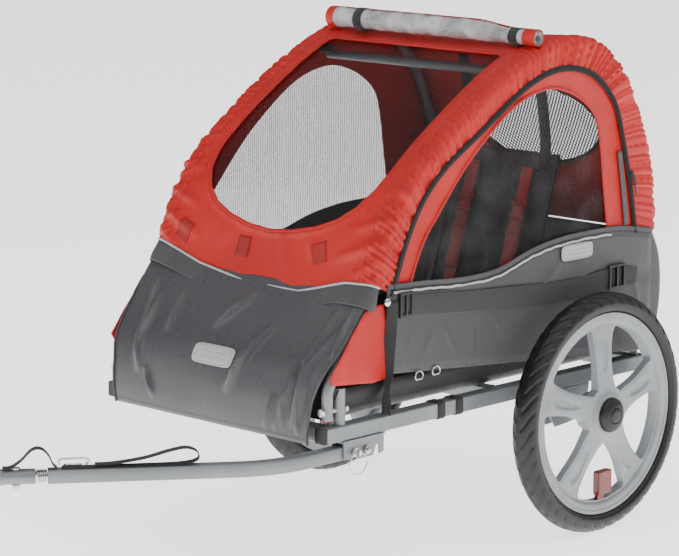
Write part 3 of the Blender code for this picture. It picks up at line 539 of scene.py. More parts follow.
def stitch_tree():
    """Short round-ended threads laid end to end along every line."""
    tree = geometry_tree("Stitches", [
        ("Pitch", "Float", 0.004), ("Length", "Float", 0.003), ("Thread", "Float", 0.0006), ("Material", "Material", None)])
    node, link = tree.nodes.new, tree.links.new
    start, end = node("NodeGroupInput"), node("NodeGroupOutput")
    curve = node("GeometryNodeMeshToCurve")
    points = node("GeometryNodeResampleCurve")
    points.mode = "LENGTH"
    tangent = node("GeometryNodeInputTangent")
    turn = node("FunctionNodeAlignRotationToVector")
    turn.axis = "Z"
    thread = node("GeometryNodeMeshUVSphere")
    thread.inputs["Segments"].default_value = 6
    thread.inputs["Rings"].default_value = 4
    thread.inputs["Radius"].default_value = 0.5
    stretch = node("ShaderNodeCombineXYZ")
    place = node("GeometryNodeInstanceOnPoints")
    real = node("GeometryNodeRealizeInstances")
    paint = node("GeometryNodeSetMaterial")
    link(start.outputs["Geometry"], curve.inputs["Mesh"])
    link(curve.outputs["Curve"], points.inputs["Curve"])
    link(start.outputs["Pitch"], points.inputs["Length"])
    link(tangent.outputs["Tangent"], turn.inputs["Vector"])
    link(start.outputs["Thread"], stretch.inputs["X"])
    link(start.outputs["Thread"], stretch.inputs["Y"])
    link(start.outputs["Length"], stretch.inputs["Z"])
    link(points.outputs["Curve"], place.inputs["Points"])
    link(thread.outputs["Mesh"], place.inputs["Instance"])
    link(turn.outputs["Rotation"], place.inputs["Rotation"])
    link(stretch.outputs["Vector"], place.inputs["Scale"])
    link(place.outputs["Instances"], real.inputs["Geometry"])
    link(real.outputs["Geometry"], paint.inputs["Geometry"])
    link(start.outputs["Material"], paint.inputs["Material"])
    link(paint.outputs["Geometry"], end.inputs["Geometry"])
    return tree


def teeth_tree():
    """Zipper teeth: small blocks across the line, all facing sideways."""
    tree = geometry_tree("Zipper Teeth", [
        ("Pitch", "Float", 0.003), ("Size", "Vector", (0.0042, 0.0016, 0.0014)), ("Material", "Material", None)])
    node, link = tree.nodes.new, tree.links.new
    start, end = node("NodeGroupInput"), node("NodeGroupOutput")
    curve = node("GeometryNodeMeshToCurve")
    points = node("GeometryNodeResampleCurve")
    points.mode = "LENGTH"
    tangent = node("GeometryNodeInputTangent")
    along = node("FunctionNodeAlignRotationToVector")
    along.axis = "Z"
    flat = node("FunctionNodeAlignRotationToVector")
    flat.axis = "Y"
    flat.pivot_axis = "Z"
    flat.inputs["Vector"].default_value = (0, 1, 0)
    tooth = node("GeometryNodeMeshCube")
    place = node("GeometryNodeInstanceOnPoints")
    real = node("GeometryNodeRealizeInstances")
    paint = node("GeometryNodeSetMaterial")
    link(start.outputs["Geometry"], curve.inputs["Mesh"])
    link(curve.outputs["Curve"], points.inputs["Curve"])
    link(start.outputs["Pitch"], points.inputs["Length"])
    link(tangent.outputs["Tangent"], along.inputs["Vector"])
    link(along.outputs["Rotation"], flat.inputs["Rotation"])
    link(start.outputs["Size"], tooth.inputs["Size"])
    link(points.outputs["Curve"], place.inputs["Points"])
    link(tooth.outputs["Mesh"], place.inputs["Instance"])
    link(flat.outputs["Rotation"], place.inputs["Rotation"])
    link(place.outputs["Instances"], real.inputs["Geometry"])
    link(real.outputs["Geometry"], paint.inputs["Geometry"])
    link(start.outputs["Material"], paint.inputs["Material"])
    link(paint.outputs["Geometry"], end.inputs["Geometry"])
    return tree


def round_tree():
    """Copies of one sector turned about the Y axis and welded into a whole wheel."""
    tree = geometry_tree("Round Sectors", [
        ("Count", "Int", 5), ("Weld", "Float", 0.00005), ("Material", "Material", None)])
    node, link = tree.nodes.new, tree.links.new
    start, end = node("NodeGroupInput"), node("NodeGroupOutput")
    spots = node("GeometryNodePoints")
    index = node("GeometryNodeInputIndex")
    share = node("ShaderNodeMath")
    share.operation = "DIVIDE"
    angle = node("ShaderNodeMath")
    angle.operation = "MULTIPLY"
    angle.inputs[1].default_value = 2 * math.pi
    turn = node("ShaderNodeCombineXYZ")
    place = node("GeometryNodeInstanceOnPoints")
    real = node("GeometryNodeRealizeInstances")
    weld = node("GeometryNodeMergeByDistance")
    paint = node("GeometryNodeSetMaterial")
    link(start.outputs["Count"], spots.inputs["Count"])
    link(index.outputs["Index"], share.inputs[0])
    link(start.outputs["Count"], share.inputs[1])
    link(share.outputs["Value"], angle.inputs[0])
    link(angle.outputs["Value"], turn.inputs["Y"])
    link(spots.outputs["Points"], place.inputs["Points"])
    link(start.outputs["Geometry"], place.inputs["Instance"])
    link(turn.outputs["Vector"], place.inputs["Rotation"])
    link(place.outputs["Instances"], real.inputs["Geometry"])
    link(real.outputs["Geometry"], weld.inputs["Geometry"])
    link(start.outputs["Weld"], weld.inputs["Distance"])
    link(weld.outputs["Geometry"], paint.inputs["Geometry"])
    link(start.outputs["Material"], paint.inputs["Material"])
    link(paint.outputs["Geometry"], end.inputs["Geometry"])
    return tree


TREES = {}


def tree_of(maker):
    if maker.__name__ not in TREES:
        TREES[maker.__name__] = maker()
    return TREES[maker.__name__]


def stitches(name, lines, material, pitch=0.0042, length=0.0032, thread=0.0007):
    return run_tree(lines_object(name, lines), tree_of(stitch_tree),
                    {"Pitch": pitch, "Length": length, "Thread": thread, "Material": material})


# ---------------------------------------------------------------------------------------------
# Finishes
# ---------------------------------------------------------------------------------------------


class Graph:
    """Short calls for adding linked nodes to a shader tree."""

    def __init__(self, tree):
        self.tree = tree

    def node(self, kind, **settings):
        made = self.tree.nodes.new(kind)
        for key, value in settings.items():
            setattr(made, key, value)
        return made

    def put(self, socket, value):
        if isinstance(value, bpy.types.NodeSocket):
            self.tree.links.new(value, socket)
        elif value is not None:
            socket.default_value = value

    def math(self, operation, a, b=None, c=None):
        made = self.node("ShaderNodeMath", operation=operation)
        for socket, value in zip(made.inputs, (a, b, c)):
            self.put(socket, value)
        return made.outputs[0]

    def ramp(self, value, low, high, out_low=0.0, out_high=1.0):
        made = self.node("ShaderNodeMapRange", clamp=True)
        for key, item in zip(("Value", "From Min", "From Max", "To Min", "To Max"),
                             (value, low, high, out_low, out_high)):
            self.put(made.inputs[key], item)
        return made.outputs[0]

    def mix(self, factor, a, b, blend="MIX"):
        made = self.node("ShaderNodeMix", data_type="RGBA", blend_type=blend)
        self.put(made.inputs[0], factor)
        self.put(made.inputs[6], a)
        self.put(made.inputs[7], b)
        return made.outputs[2]

    def noise(self, vector, scale, detail=2.0, rough=0.5):
        made = self.node("ShaderNodeTexNoise")
        self.put(made.inputs["Vector"], vector)
        self.put(made.inputs["Scale"], scale)
        self.put(made.inputs["Detail"], detail)
        self.put(made.inputs["Roughness"], rough)
        return made.outputs["Fac"]

    def group(self, tree, values):
        made = self.node("ShaderNodeGroup")
        made.node_tree = tree
        for key, value in values.items():
            self.put(made.inputs[key], value)
        return made


GROUPS = {}


def effect(name, inputs, outputs, build):
    """A shader node group, built once; inputs and outputs are (name, kind, value)."""
    if name not in GROUPS:
        tree = bpy.data.node_groups.new(name, "ShaderNodeTree")
        for label, kind, value in inputs:
            socket = tree.interface.new_socket(label, in_out="INPUT", socket_type="NodeSocket" + kind)
            if value is not None:
                socket.default_value = value
        for label, kind in outputs:
            tree.interface.new_socket(label, in_out="OUTPUT", socket_type="NodeSocket" + kind)
        start, end = tree.nodes.new("NodeGroupInput"), tree.nodes.new("NodeGroupOutput")
        build(Graph(tree), start.outputs, end.inputs)
        GROUPS[name] = tree
    return GROUPS[name]


def weave_effect():
    """Plain weave: threads over and under each other, along the first two axes of the vector; its tone output holds
    painted shade between the threads.
    """
    def build(g, i, o):
        parts = g.node("ShaderNodeSeparateXYZ")
        g.put(parts.inputs[0], i["Vector"])
        u = g.math("MULTIPLY", parts.outputs["X"], i["Threads per metre"])
        v = g.math("MULTIPLY", parts.outputs["Y"], i["Threads per metre"])
        su = g.math("SINE", g.math("MULTIPLY", u, math.pi))
        sv = g.math("SINE", g.math("MULTIPLY", v, math.pi))
        over = g.math("GREATER_THAN", g.math("MULTIPLY", su, sv), 0.0)
        height = g.math("ADD", g.math("MULTIPLY", g.math("ABSOLUTE", su), over),
                        g.math("MULTIPLY", g.math("ABSOLUTE", sv), g.math("SUBTRACT", 1.0, over)))
        g.put(o["Height"], height)
        uneven = g.noise(i["Vector"], g.math("MULTIPLY", i["Threads per metre"], 0.13), 3.0)
        # Painted shade: lighter on top of each thread and darker in the dips between threads, mixed with random
        # unevenness.
        g.put(o["Shade"], g.ramp(g.math("ADD", g.math("MULTIPLY", height, 0.70), g.math("MULTIPLY", uneven, 0.45)), 0.2, 1.0))
    return effect("Weave", [("Vector", "Vector", None), ("Threads per metre", "Float", 1400.0)],
                  [("Height", "Float"), ("Shade", "Float")], build)


def cloud_effect():
    """Broad and fine unevenness: a mask for dust, fading and sheen, and a height for small dents."""
    def build(g, i, o):
        broad = g.noise(i["Vector"], i["Broad"], 3.0)
        fine = g.noise(i["Vector"], i["Fine"], 4.0, 0.6)
        g.put(o["Broad"], g.ramp(broad, 0.32, 0.68))
        g.put(o["Fine"], g.ramp(fine, 0.3, 0.7))
        g.put(o["Height"], g.math("ADD", g.math("MULTIPLY", broad, 0.6), g.math("MULTIPLY", fine, 0.4)))
    return effect("Unevenness", [("Vector", "Vector", None), ("Broad", "Float", 14.0), ("Fine", "Float", 260.0)],
                  [("Broad", "Float"), ("Fine", "Float"), ("Height", "Float")], build)


def net_effect():
    """Open net: thread where the mask is 1 and a hole where it is 0, with slanted or square holes."""
    def build(g, i, o):
        parts = g.node("ShaderNodeSeparateXYZ")
        g.put(parts.inputs[0], i["Vector"])
        x, y = parts.outputs["X"], parts.outputs["Y"]
        u = g.math("ADD", x, g.math("MULTIPLY", y, i["Slant"]))
        v = g.math("SUBTRACT", y, g.math("MULTIPLY", x, i["Slant"]))
        a = g.math("ABSOLUTE", g.math("SINE", g.math("MULTIPLY", g.math("DIVIDE", u, i["Width"]), math.pi)))
        b = g.math("ABSOLUTE", g.math("SINE", g.math("MULTIPLY", g.math("DIVIDE", v, i["Height"]), math.pi)))
        near = g.math("MINIMUM", a, b)
        g.put(o["Thread"], g.math("SUBTRACT", 1.0, g.ramp(near, g.math("SUBTRACT", i["Thread"], 0.08),
                                                           g.math("ADD", i["Thread"], 0.08))))
    return effect("Net", [("Vector", "Vector", None), ("Width", "Float", 0.002), ("Height", "Float", 0.002),
                          ("Thread", "Float", 0.3), ("Slant", "Float", 0.0)], [("Thread", "Float")], build)


MATERIALS = {}


def finish_material(name, build, blend=False):
    """A material whose Principled shader is filled in by build(graph, shader, uv, place)."""
    if name not in MATERIALS:
        mat = bpy.data.materials.new(name)
        mat.use_nodes = True
        graph = Graph(mat.node_tree)
        shader = mat.node_tree.nodes["Principled BSDF"]
        coords = graph.node("ShaderNodeTexCoord")
        build(graph, shader, coords.outputs["UV"], coords.outputs["Object"])
        MATERIALS[name] = mat
    return MATERIALS[name]


def bump(g, shader, height, distance, strength=1.0):
    made = g.node("ShaderNodeBump")
    made.inputs["Strength"].default_value = strength
    made.inputs["Distance"].default_value = distance
    g.put(made.inputs["Height"], height)
    g.put(shader.inputs["Normal"], made.outputs["Normal"])


def cloth(name, colour, threads=1500.0, rough=0.5, sheen=0.05, shade=0.16, dents=1.0, weave_height=0.22):
    """Coated woven cloth, with painted shade between its threads."""
    def build(g, shader, uv, place):
        weave = g.group(weave_effect(), {"Vector": uv, "Threads per metre": threads})
        cloud = g.group(cloud_effect(), {"Vector": place, "Broad": 9.0, "Fine": 90.0})
        dark = tuple(c * (1 - shade * 1.6) for c in colour) + (1,)
        light = tuple(min(1, c * (1 + shade)) for c in colour) + (1,)
        # Colour between darker and lighter copies: painted thread shade from the weave, mixed with random broad tone.
        tone = g.math("ADD", g.math("MULTIPLY", weave.outputs["Shade"], 0.55),
                      g.math("MULTIPLY", cloud.outputs["Broad"], 0.45))
        g.put(shader.inputs["Base Color"], g.mix(tone, dark, light))
        g.put(shader.inputs["Roughness"], g.ramp(cloud.outputs["Fine"], 0, 1, rough - 0.06, rough + 0.08))
        shader.inputs["Sheen Weight"].default_value = sheen
        shader.inputs["Sheen Roughness"].default_value = 0.45
        height = g.math("ADD", g.math("MULTIPLY", weave.outputs["Height"], weave_height),
                        g.math("MULTIPLY", cloud.outputs["Height"], dents))
        bump(g, shader, height, 0.0006)
    return finish_material(name, build)


def webbing(name, colour, rib=0.0016):
    """Heavy woven tape with ribs across it, painted lighter on the ribs and darker between them."""
    def build(g, shader, uv, place):
        parts = g.node("ShaderNodeSeparateXYZ")
        g.put(parts.inputs[0], uv)
        ribs = g.math("ABSOLUTE", g.math("SINE", g.math("MULTIPLY", parts.outputs["X"], math.pi / rib)))
        cross = g.math("ABSOLUTE", g.math("SINE", g.math("MULTIPLY", parts.outputs["Y"], math.pi / (rib * 0.8))))
        height = g.math("MULTIPLY", ribs, g.math("ADD", 0.6, g.math("MULTIPLY", cross, 0.4)))
        cloud = g.group(cloud_effect(), {"Vector": place, "Broad": 30.0, "Fine": 700.0})
        dark = tuple(c * 0.6 for c in colour) + (1,)
        light = tuple(min(1, c * 1.5) for c in colour) + (1,)
        # Painted shade: the colour follows the rib height, darker in the dips, times random fine unevenness.
        g.put(shader.inputs["Base Color"], g.mix(g.math("MULTIPLY", height, cloud.outputs["Fine"]), dark, light))
        g.put(shader.inputs["Roughness"], g.ramp(ribs, 0, 1, 0.85, 0.55))
        shader.inputs["Sheen Weight"].default_value = 0.2
        bump(g, shader, height, 0.0005)
    return finish_material(name, build)


def net(name, colour, width, height, thread, slant=0.0):
    """Open net cloth: its holes are clear."""
    def build(g, shader, uv, place):
        grid = g.group(net_effect(), {"Vector": uv, "Width": width, "Height": height,
                                      "Thread": thread, "Slant": slant})
        cloud = g.group(cloud_effect(), {"Vector": place, "Broad": 12.0, "Fine": 400.0})
        dark = tuple(c * 0.7 for c in colour) + (1,)
        g.put(shader.inputs["Base Color"], g.mix(cloud.outputs["Fine"], dark, tuple(colour) + (1,)))
        g.put(shader.inputs["Roughness"], g.ramp(cloud.outputs["Broad"], 0, 1, 0.6, 0.75))
        g.put(shader.inputs["Alpha"], grid.outputs["Thread"])
    return finish_material(name, build)


def coated_metal(name, colour, metal, rough, grain=900.0, height=0.00012, coat=0.0):
    """Powder coat or plate: a fine orange peel with slow changes of tone and rubbed patches."""
    def build(g, shader, uv, place):
        cloud = g.group(cloud_effect(), {"Vector": place, "Broad": 11.0, "Fine": grain})
        dark = tuple(c * 0.86 for c in colour) + (1,)
        light = tuple(min(1, c * 1.06) for c in colour) + (1,)
        g.put(shader.inputs["Base Color"], g.mix(cloud.outputs["Broad"], dark, light))
        g.put(shader.inputs["Roughness"], g.ramp(cloud.outputs["Fine"], 0, 1, rough - 0.05, rough + 0.08))
        shader.inputs["Metallic"].default_value = metal
        shader.inputs["Coat Weight"].default_value = coat
        bump(g, shader, cloud.outputs["Fine"], height)
    return finish_material(name, build)


def moulded(name, colour, rough, grain=500.0, height=0.0001):
    """Moulded plastic or rubber with a fine grain."""
    def build(g, shader, uv, place):
        cloud = g.group(cloud_effect(), {"Vector": place, "Broad": 16.0, "Fine": grain})
        dark = tuple(c * 0.85 for c in colour) + (1,)
        light = tuple(min(1, c * 1.12) for c in colour) + (1,)
        g.put(shader.inputs["Base Color"], g.mix(cloud.outputs["Broad"], dark, light))
        g.put(shader.inputs["Roughness"], g.ramp(cloud.outputs["Fine"], 0, 1, rough - 0.04, rough + 0.08))
        bump(g, shader, cloud.outputs["Fine"], height)
    return finish_material(name, build)


def clear_vinyl():
    def build(g, shader, uv, place):
        cloud = g.group(cloud_effect(), {"Vector": place, "Broad": 16.0, "Fine": 60.0})
        g.put(shader.inputs["Base Color"], g.mix(cloud.outputs["Broad"], (0.16, 0.165, 0.17, 1), (0.26, 0.265, 0.27, 1)))
        g.put(shader.inputs["Roughness"], g.ramp(cloud.outputs["Fine"], 0, 1, 0.06, 0.13))
        g.put(shader.inputs["Alpha"], g.ramp(cloud.outputs["Broad"], 0, 1, 0.02, 0.06))
        shader.inputs["IOR"].default_value = 1.40
        bump(g, shader, cloud.outputs["Height"], 0.0008)
    return finish_material("Clear Vinyl", build)


def rolled_vinyl():
    def build(g, shader, uv, place):
        cloud = g.group(cloud_effect(), {"Vector": place, "Broad": 26.0, "Fine": 90.0})
        g.put(shader.inputs["Base Color"], g.mix(cloud.outputs["Broad"], (0.55, 0.53, 0.54, 1), (0.92, 0.92, 0.93, 1)))
        g.put(shader.inputs["Roughness"], g.ramp(cloud.outputs["Fine"], 0, 1, 0.08, 0.2))
        g.put(shader.inputs["Alpha"], g.ramp(cloud.outputs["Broad"], 0, 1, 0.30, 0.52))
        shader.inputs["IOR"].default_value = 1.5
        bump(g, shader, cloud.outputs["Height"], 0.0030)
    return finish_material("Rolled Vinyl", build)


def red_lens():
    """Reflector lens with rows of small prisms behind its face, with painted glints over each prism."""
    def build(g, shader, uv, place):
        parts = g.node("ShaderNodeSeparateXYZ")
        g.put(parts.inputs[0], place)
        a = g.math("ABSOLUTE", g.math("SINE", g.math("MULTIPLY", parts.outputs["X"], math.pi / 0.0030)))
        b = g.math("ABSOLUTE", g.math("SINE", g.math("MULTIPLY", parts.outputs["Z"], math.pi / 0.0030)))
        prism = g.math("MULTIPLY", a, b)
        cloud = g.group(cloud_effect(), {"Vector": place, "Broad": 60.0, "Fine": 300.0})
        # Painted glints: the red is lighter where each prism rises, mixed with random broad tone.
        tone = g.math("ADD", g.math("MULTIPLY", prism, 0.6), g.math("MULTIPLY", cloud.outputs["Broad"], 0.4))
        g.put(shader.inputs["Base Color"], g.mix(tone, (0.12, 0.004, 0.003, 1), (0.36, 0.012, 0.008, 1)))
        g.put(shader.inputs["Roughness"], g.ramp(prism, 0, 1, 0.12, 0.24))
        shader.inputs["Coat Weight"].default_value = 0.6
        bump(g, shader, prism, 0.0004)
    return finish_material("Red Lens", build)


def red_cloth():
    return cloth("Red Cover Cloth", bpy.context.scene.trailer_cloth.red, 1500.0, 0.36, 0.04, 0.14)


def red_patch():
    return cloth("Red Patch Cloth", (0.40, 0.012, 0.008), 1100.0, 0.50, 0.03, 0.16)


def grey_cloth():
    return cloth("Grey Side Cloth", bpy.context.scene.trailer_cloth.grey, 1400.0, 0.42, 0.04, 0.14)


def grey_satin():
    return cloth("Grey Front Satin", (0.082, 0.080, 0.088), 1200.0, 0.30, 0.05, 0.07, 0.3, 0.05)


def seat_cloth():
    return cloth("Quilted Cloth", (0.040, 0.040, 0.045), 1200.0, 0.34, 0.06, 0.24)


def floor_cloth():
    return cloth("Black Floor Cloth", (0.010, 0.010, 0.011), 1100.0, 0.42, 0.03, 0.2)


def black_web():
    return webbing("Black Webbing", (0.012, 0.012, 0.013))


def red_web():
    return webbing("Red Harness Webbing", (0.50, 0.010, 0.008))


def black_tape():
    return cloth("Black Binding Tape", (0.009, 0.009, 0.010), 1700.0, 0.55, 0.03, 0.2)


def grey_tape():
    return cloth("Grey Binding Tape", (0.085, 0.085, 0.092), 1700.0, 0.5, 0.04, 0.14)


def bright_piping():
    return cloth("Reflective Piping", (0.55, 0.56, 0.58), 900.0, 0.28, 0.05, 0.08)


def pale_patch():
    return cloth("Pale Patch", (0.60, 0.61, 0.62), 1300.0, 0.45, 0.03, 0.06)


def silver_steel():
    return coated_metal("Silver Powder Coat", bpy.context.scene.trailer_wheels.steel, 0.35, 0.36, 1100.0, 0.00010)


def zinc():
    return coated_metal("Zinc Plate", (0.66, 0.66, 0.67), 1.0, 0.26, 300.0, 0.00005)


def chrome():
    return coated_metal("Polished Chrome", (0.82, 0.82, 0.83), 1.0, 0.12, 200.0, 0.00002)


def black_plastic():
    return moulded("Black Plastic", (0.010, 0.010, 0.011), 0.40)


def wheel_plastic():
    return moulded("Silver Wheel Plastic", bpy.context.scene.trailer_wheels.plastic, 0.38, 700.0, 0.00008)


def tyre_rubber():
    return moulded("Tyre Rubber", (0.0085, 0.0088, 0.0095), 0.42, 420.0, 0.0002)


def cap_rubber():
    return moulded("Cap Rubber", (0.0085, 0.0085, 0.009), 0.46, 600.0, 0.0001)


def thread(colour):
    names = {"red": ("Red Thread", (0.36, 0.012, 0.008)), "black": ("Black Thread", (0.014, 0.014, 0.014)),
             "grey": ("Grey Thread", (0.075, 0.075, 0.08)), "white": ("White Thread", (0.7, 0.7, 0.7))}
    name, tone = names[colour]
    return moulded(name, tone, 0.6, 900.0, 0.0001)


# ---------------------------------------------------------------------------------------------
# The cover: one sheet laid over both arches, written as (run along the arch, way across)
# ---------------------------------------------------------------------------------------------

ARCH = smooth_line([p for p in ARCH_LINE], 16)
ARCH_RUN = run_of(ARCH)
_tangent = np.gradient(ARCH, axis=0)
_tangent /= np.linalg.norm(_tangent, axis=1)[:, None]
ARCH_OUT = np.stack([-_tangent[:, 1], _tangent[:, 0]], axis=1)
if ARCH_OUT[len(ARCH) // 2, 1] < 0:
    ARCH_OUT = -ARCH_OUT
WRAP = COVER_R * math.pi / 2
SPAN = ARCH_Y
SLEEVE = 0.222


def station(x, z):
    """How far along the arch the nearest point is, and how far inside it the point lies."""
    point = np.array([x, z])
    away = np.linalg.norm(ARCH - point, axis=1)
    k = int(np.argmin(away))
    return ARCH_RUN[k], float(-(point - ARCH[k]) @ ARCH_OUT[k])


def front_station(z):
    """How far along the arch the front slope has this height."""
    half = len(ARCH) // 2
    return float(np.interp(z, ARCH[:half, 1], ARCH_RUN[:half]))


def rear_station(z):
    half = len(ARCH) // 2
    return float(np.interp(z, ARCH[half:, 1][::-1], ARCH_RUN[half:][::-1]))


def on_cover(points, lift):
    """Points written as (run, across) on the cover, lifted off its surface, in the frame's axes."""
    run, across = points[:, 0], points[:, 1]
    centre = np.stack([np.interp(run, ARCH_RUN, ARCH[:, k]) for k in (0, 1)], axis=1)
    out = np.stack([np.interp(run, ARCH_RUN, ARCH_OUT[:, k]) for k in (0, 1)], axis=1)
    out /= np.linalg.norm(out, axis=1)[:, None]
    side = np.sign(across)
    far = np.abs(across)
    turn = np.clip((far - SPAN) / COVER_R, 0, math.pi / 2)
    inward = np.clip(far - SPAN - WRAP, 0, None)
    up = (COVER_R + lift) * np.cos(turn) - inward
    flat = np.clip(far, None, SPAN) + (COVER_R + lift) * np.sin(turn)
    xz = centre + out * up[:, None]
    return np.stack([xz[:, 0] + AXLE_X, side * flat, xz[:, 1]], axis=1)


def side_way(x, z):
    """A side point (x, z) as (run, across) on the left half of the cover."""
    run, depth = station(x, z)
    return run, SPAN + WRAP + depth


def ruching(points):
    """Gathers across each arch, deepest beside the zipper, and slow unevenness everywhere."""
    run, across = points[:, 0], points[:, 1]
    far = np.abs(across)
    side = np.where(across > 0, 1.0, -1.0)
    lean = run + 0.35 * (far - SPAN)
    waves = np.where(side > 0, ripple(lean, 0.0230, 3), ripple(lean, 0.0230, 8))
    sharp = 1.1 - 1.9 * np.exp(-(waves / 0.42) ** 2)
    deep = 0.0030 * rise(far, SPAN - 0.030, SPAN + WRAP * 0.8)
    soft = 0.0007 * rise(far, 0.14, SPAN)
    patchy = 0.65 + 0.35 * np.sin(run * 21 + side * 1.3) * np.sin(run * 7.7)
    return sharp * (deep * patchy + soft) + rumple(points, 0.16, 0.0022, 5) * (1 - rise(far, SPAN - 0.02, SPAN))


def front_folds(points):
    """Folds that fan out of each lower front corner and run up the slope beside the opening."""
    low = front_station(0.47)
    rows = []
    for side in (1, -1):
        rows += [
            ((low + 0.075, side * 0.262), (low + 0.030, side * 0.150), 0.0085, 0.0060),
            ((low + 0.110, side * 0.262), (low + 0.080, side * 0.170), 0.0070, 0.0050),
            ((low + 0.150, side * 0.262), (low + 0.150, side * 0.205), 0.0070, 0.0042),
            ((low + 0.045, side * 0.258), (low + 0.006, side * 0.195), 0.0080, 0.0046),
            ((low + 0.020, side * 0.110), (low + 0.072, side * 0.085), 0.0090, 0.0030),
            ((low + 0.002, side * 0.050), (low + 0.066, side * 0.030), 0.0100, 0.0028),
            ((low + 0.200, side * 0.262), (low + 0.215, side * 0.206), 0.0080, 0.0035),
        ]
    return creases(points, rows)


def sag(across):
    """The cover hangs a little between the arches."""
    return -0.0040 * np.cos(np.clip(across / SPAN, -1, 1) * 1.5)


def piping_run(across):
    """Where the pale piping crosses the front, for each way across."""
    rows = np.array(PIPING_DROP)
    z = np.interp(across, rows[:, 0], rows[:, 1])
    half = len(ARCH) // 2
    return np.interp(z, ARCH[:half, 1], ARCH_RUN[:half])


def opening_outline(grow=0.0):
    """The rounded front opening, as (run, across)."""
    low = [(0.0, 0.5250), (0.050, 0.5285), (0.100, 0.5385), (0.140, 0.5535), (0.170, 0.5745),
           (0.1900, 0.6005), (0.1985, 0.6300)]
    right = [(front_station(z) - grow, y + (grow if y else 0)) for y, z in low]
    right += [(station(x, z)[0], 0.2000 + grow) for x, z in ((0.300, 0.690), (0.200, 0.750))]
    top = station(0.108, 0.795)[0] + grow
    right += [(top - 0.010, 0.2000 + grow), (top, 0.1900 + grow)]
    return smooth_loop(right)


def smooth_loop(right):
    """The right half of an outline and its mirror image, as one closed loop."""
    half = np.array(right, float)
    mirror = half[1:][::-1].copy()
    mirror[:, 1] *= -1
    return np.vstack([half, mirror])


def rear_opening(grow=0.0):
    middle_run = rear_station(0.645)
    turn = np.linspace(0, 2 * math.pi, 72, endpoint=False)
    return np.stack([middle_run + (0.078 + grow) * np.sin(turn), (0.150 + grow) * np.cos(turn)], axis=1)


REAR_END = rear_station(0.4780)
HEM_DROP = 0.0300


def hem_run(across):
    return piping_run(across) - HEM_DROP - 0.010 * (np.abs(across) / 0.25) ** 2


def zipper_way():
    line = smooth_line(ZIPPER_LINE, 8)
    return np.array([side_way(x, z) for x, z in line if z > 0.46 or x > 0])


def build_cover_cloth(cloth_set):
    zipper = zipper_way()
    lap = SLEEVE - 0.002
    across = np.linspace(-SLEEVE, SLEEVE, 60)
    outline = np.vstack([np.stack([piping_run(across), across], axis=1),
                         [(REAR_END, SLEEVE), (REAR_END, -SLEEVE)]])
    opening, back = opening_outline(), rear_opening()
    flat, faces = cut_pattern(outline, [opening, back], cloth_set.pitch)
    lift = ruching(flat) + front_folds(flat)
    edge = rise(distance_to(flat, opening, True), 0.0, 0.012)
    roof = new_piece("cover_roof", on_cover(flat, (lift + sag(flat[:, 1])) * edge), faces,
                     red_cloth(), flat)
    hang(roof, flat, cloth_set.thickness, (0, 0, 1))
    finish_slack(roof, "red_cloth", "cover")
    for side, name in ((1, "left"), (-1, "right")):
        ends = zipper[(zipper[:, 0] > piping_run(np.array([0.255]))[0]) & (zipper[:, 0] < REAR_END)]
        edge_way = np.linspace(lap, ends[0, 1], 12)
        low = np.stack([piping_run(side * edge_way), edge_way], axis=1)
        outline = np.vstack([low[:-1], ends, [(REAR_END, ends[-1, 1])], [(REAR_END, lap)]])
        outline[:, 1] *= side
        flat, faces = cut_pattern(outline, (), cloth_set.pitch * 0.72)
        lift = (ruching(flat) + front_folds(flat)) * (0.25 + 0.75 * rise(distance_to(flat, ends * [1, side]), 0.0, 0.009))
        tuck = rise(np.abs(flat[:, 1]), SLEEVE - 0.002, SLEEVE + 0.006)
        sleeve = new_piece("cover_sleeve_" + name,
                           on_cover(flat, lift + (sag(flat[:, 1]) - 0.0002) * (1 - tuck)), faces, red_cloth(), flat)
        hang(sleeve, flat, cloth_set.thickness, (0, side, 0))
        finish_side(sleeve, side, "red_cloth")
    build_hem(cloth_set)
    build_patches()


def build_hem(cloth_set):
    """The grey hem below the pale piping, over the top of the front panel."""
    reach = 0.262
    across = np.linspace(-reach, reach, 90)
    low = np.stack([hem_run(across), across], axis=1)
    high = np.stack([piping_run(across) + 0.002, across], axis=1)[::-1]
    flat, faces = cut_pattern(np.vstack([low, high]), (), cloth_set.pitch * 0.8)
    drop = rise(piping_run(flat[:, 1]) - flat[:, 0], 0.0, 0.03)
    lift = front_folds(flat) * 0.7 + sag(flat[:, 1]) + 0.0006 + 0.0050 * drop + 0.0012 * drop * ripple(flat[:, 1], 0.05, 21)
    hem = new_piece("cover_hem", on_cover(flat, lift), faces, grey_cloth(), flat)
    hang(hem, flat, cloth_set.thickness, (1, 0, 0))
    finish_slack(hem, "grey_cloth")
    line = np.stack([piping_run(across), across], axis=1)
    path = on_cover(line, front_folds(line) * 0.85 + sag(line[:, 1]) + 0.0016)
    piping = sweep("cover_piping", path, circle(0.0019, 8), bright_piping())
    finish_slack(piping, "grey_cloth")
    rows = []
    for share in (0.12, 0.90):
        line = np.stack([piping_run(across) * (1 - share) + hem_run(across) * share, across], axis=1)
        d = rise(piping_run(line[:, 1]) - line[:, 0], 0.0, 0.03)
        rows.append(on_cover(line, front_folds(line) * 0.7 + sag(line[:, 1]) + 0.0010 + 0.0050 * d + 0.0012 * d * ripple(line[:, 1], 0.05, 21)))
    finish_slack(stitches("hem_stitches", rows, thread("grey")), "grey_cloth")


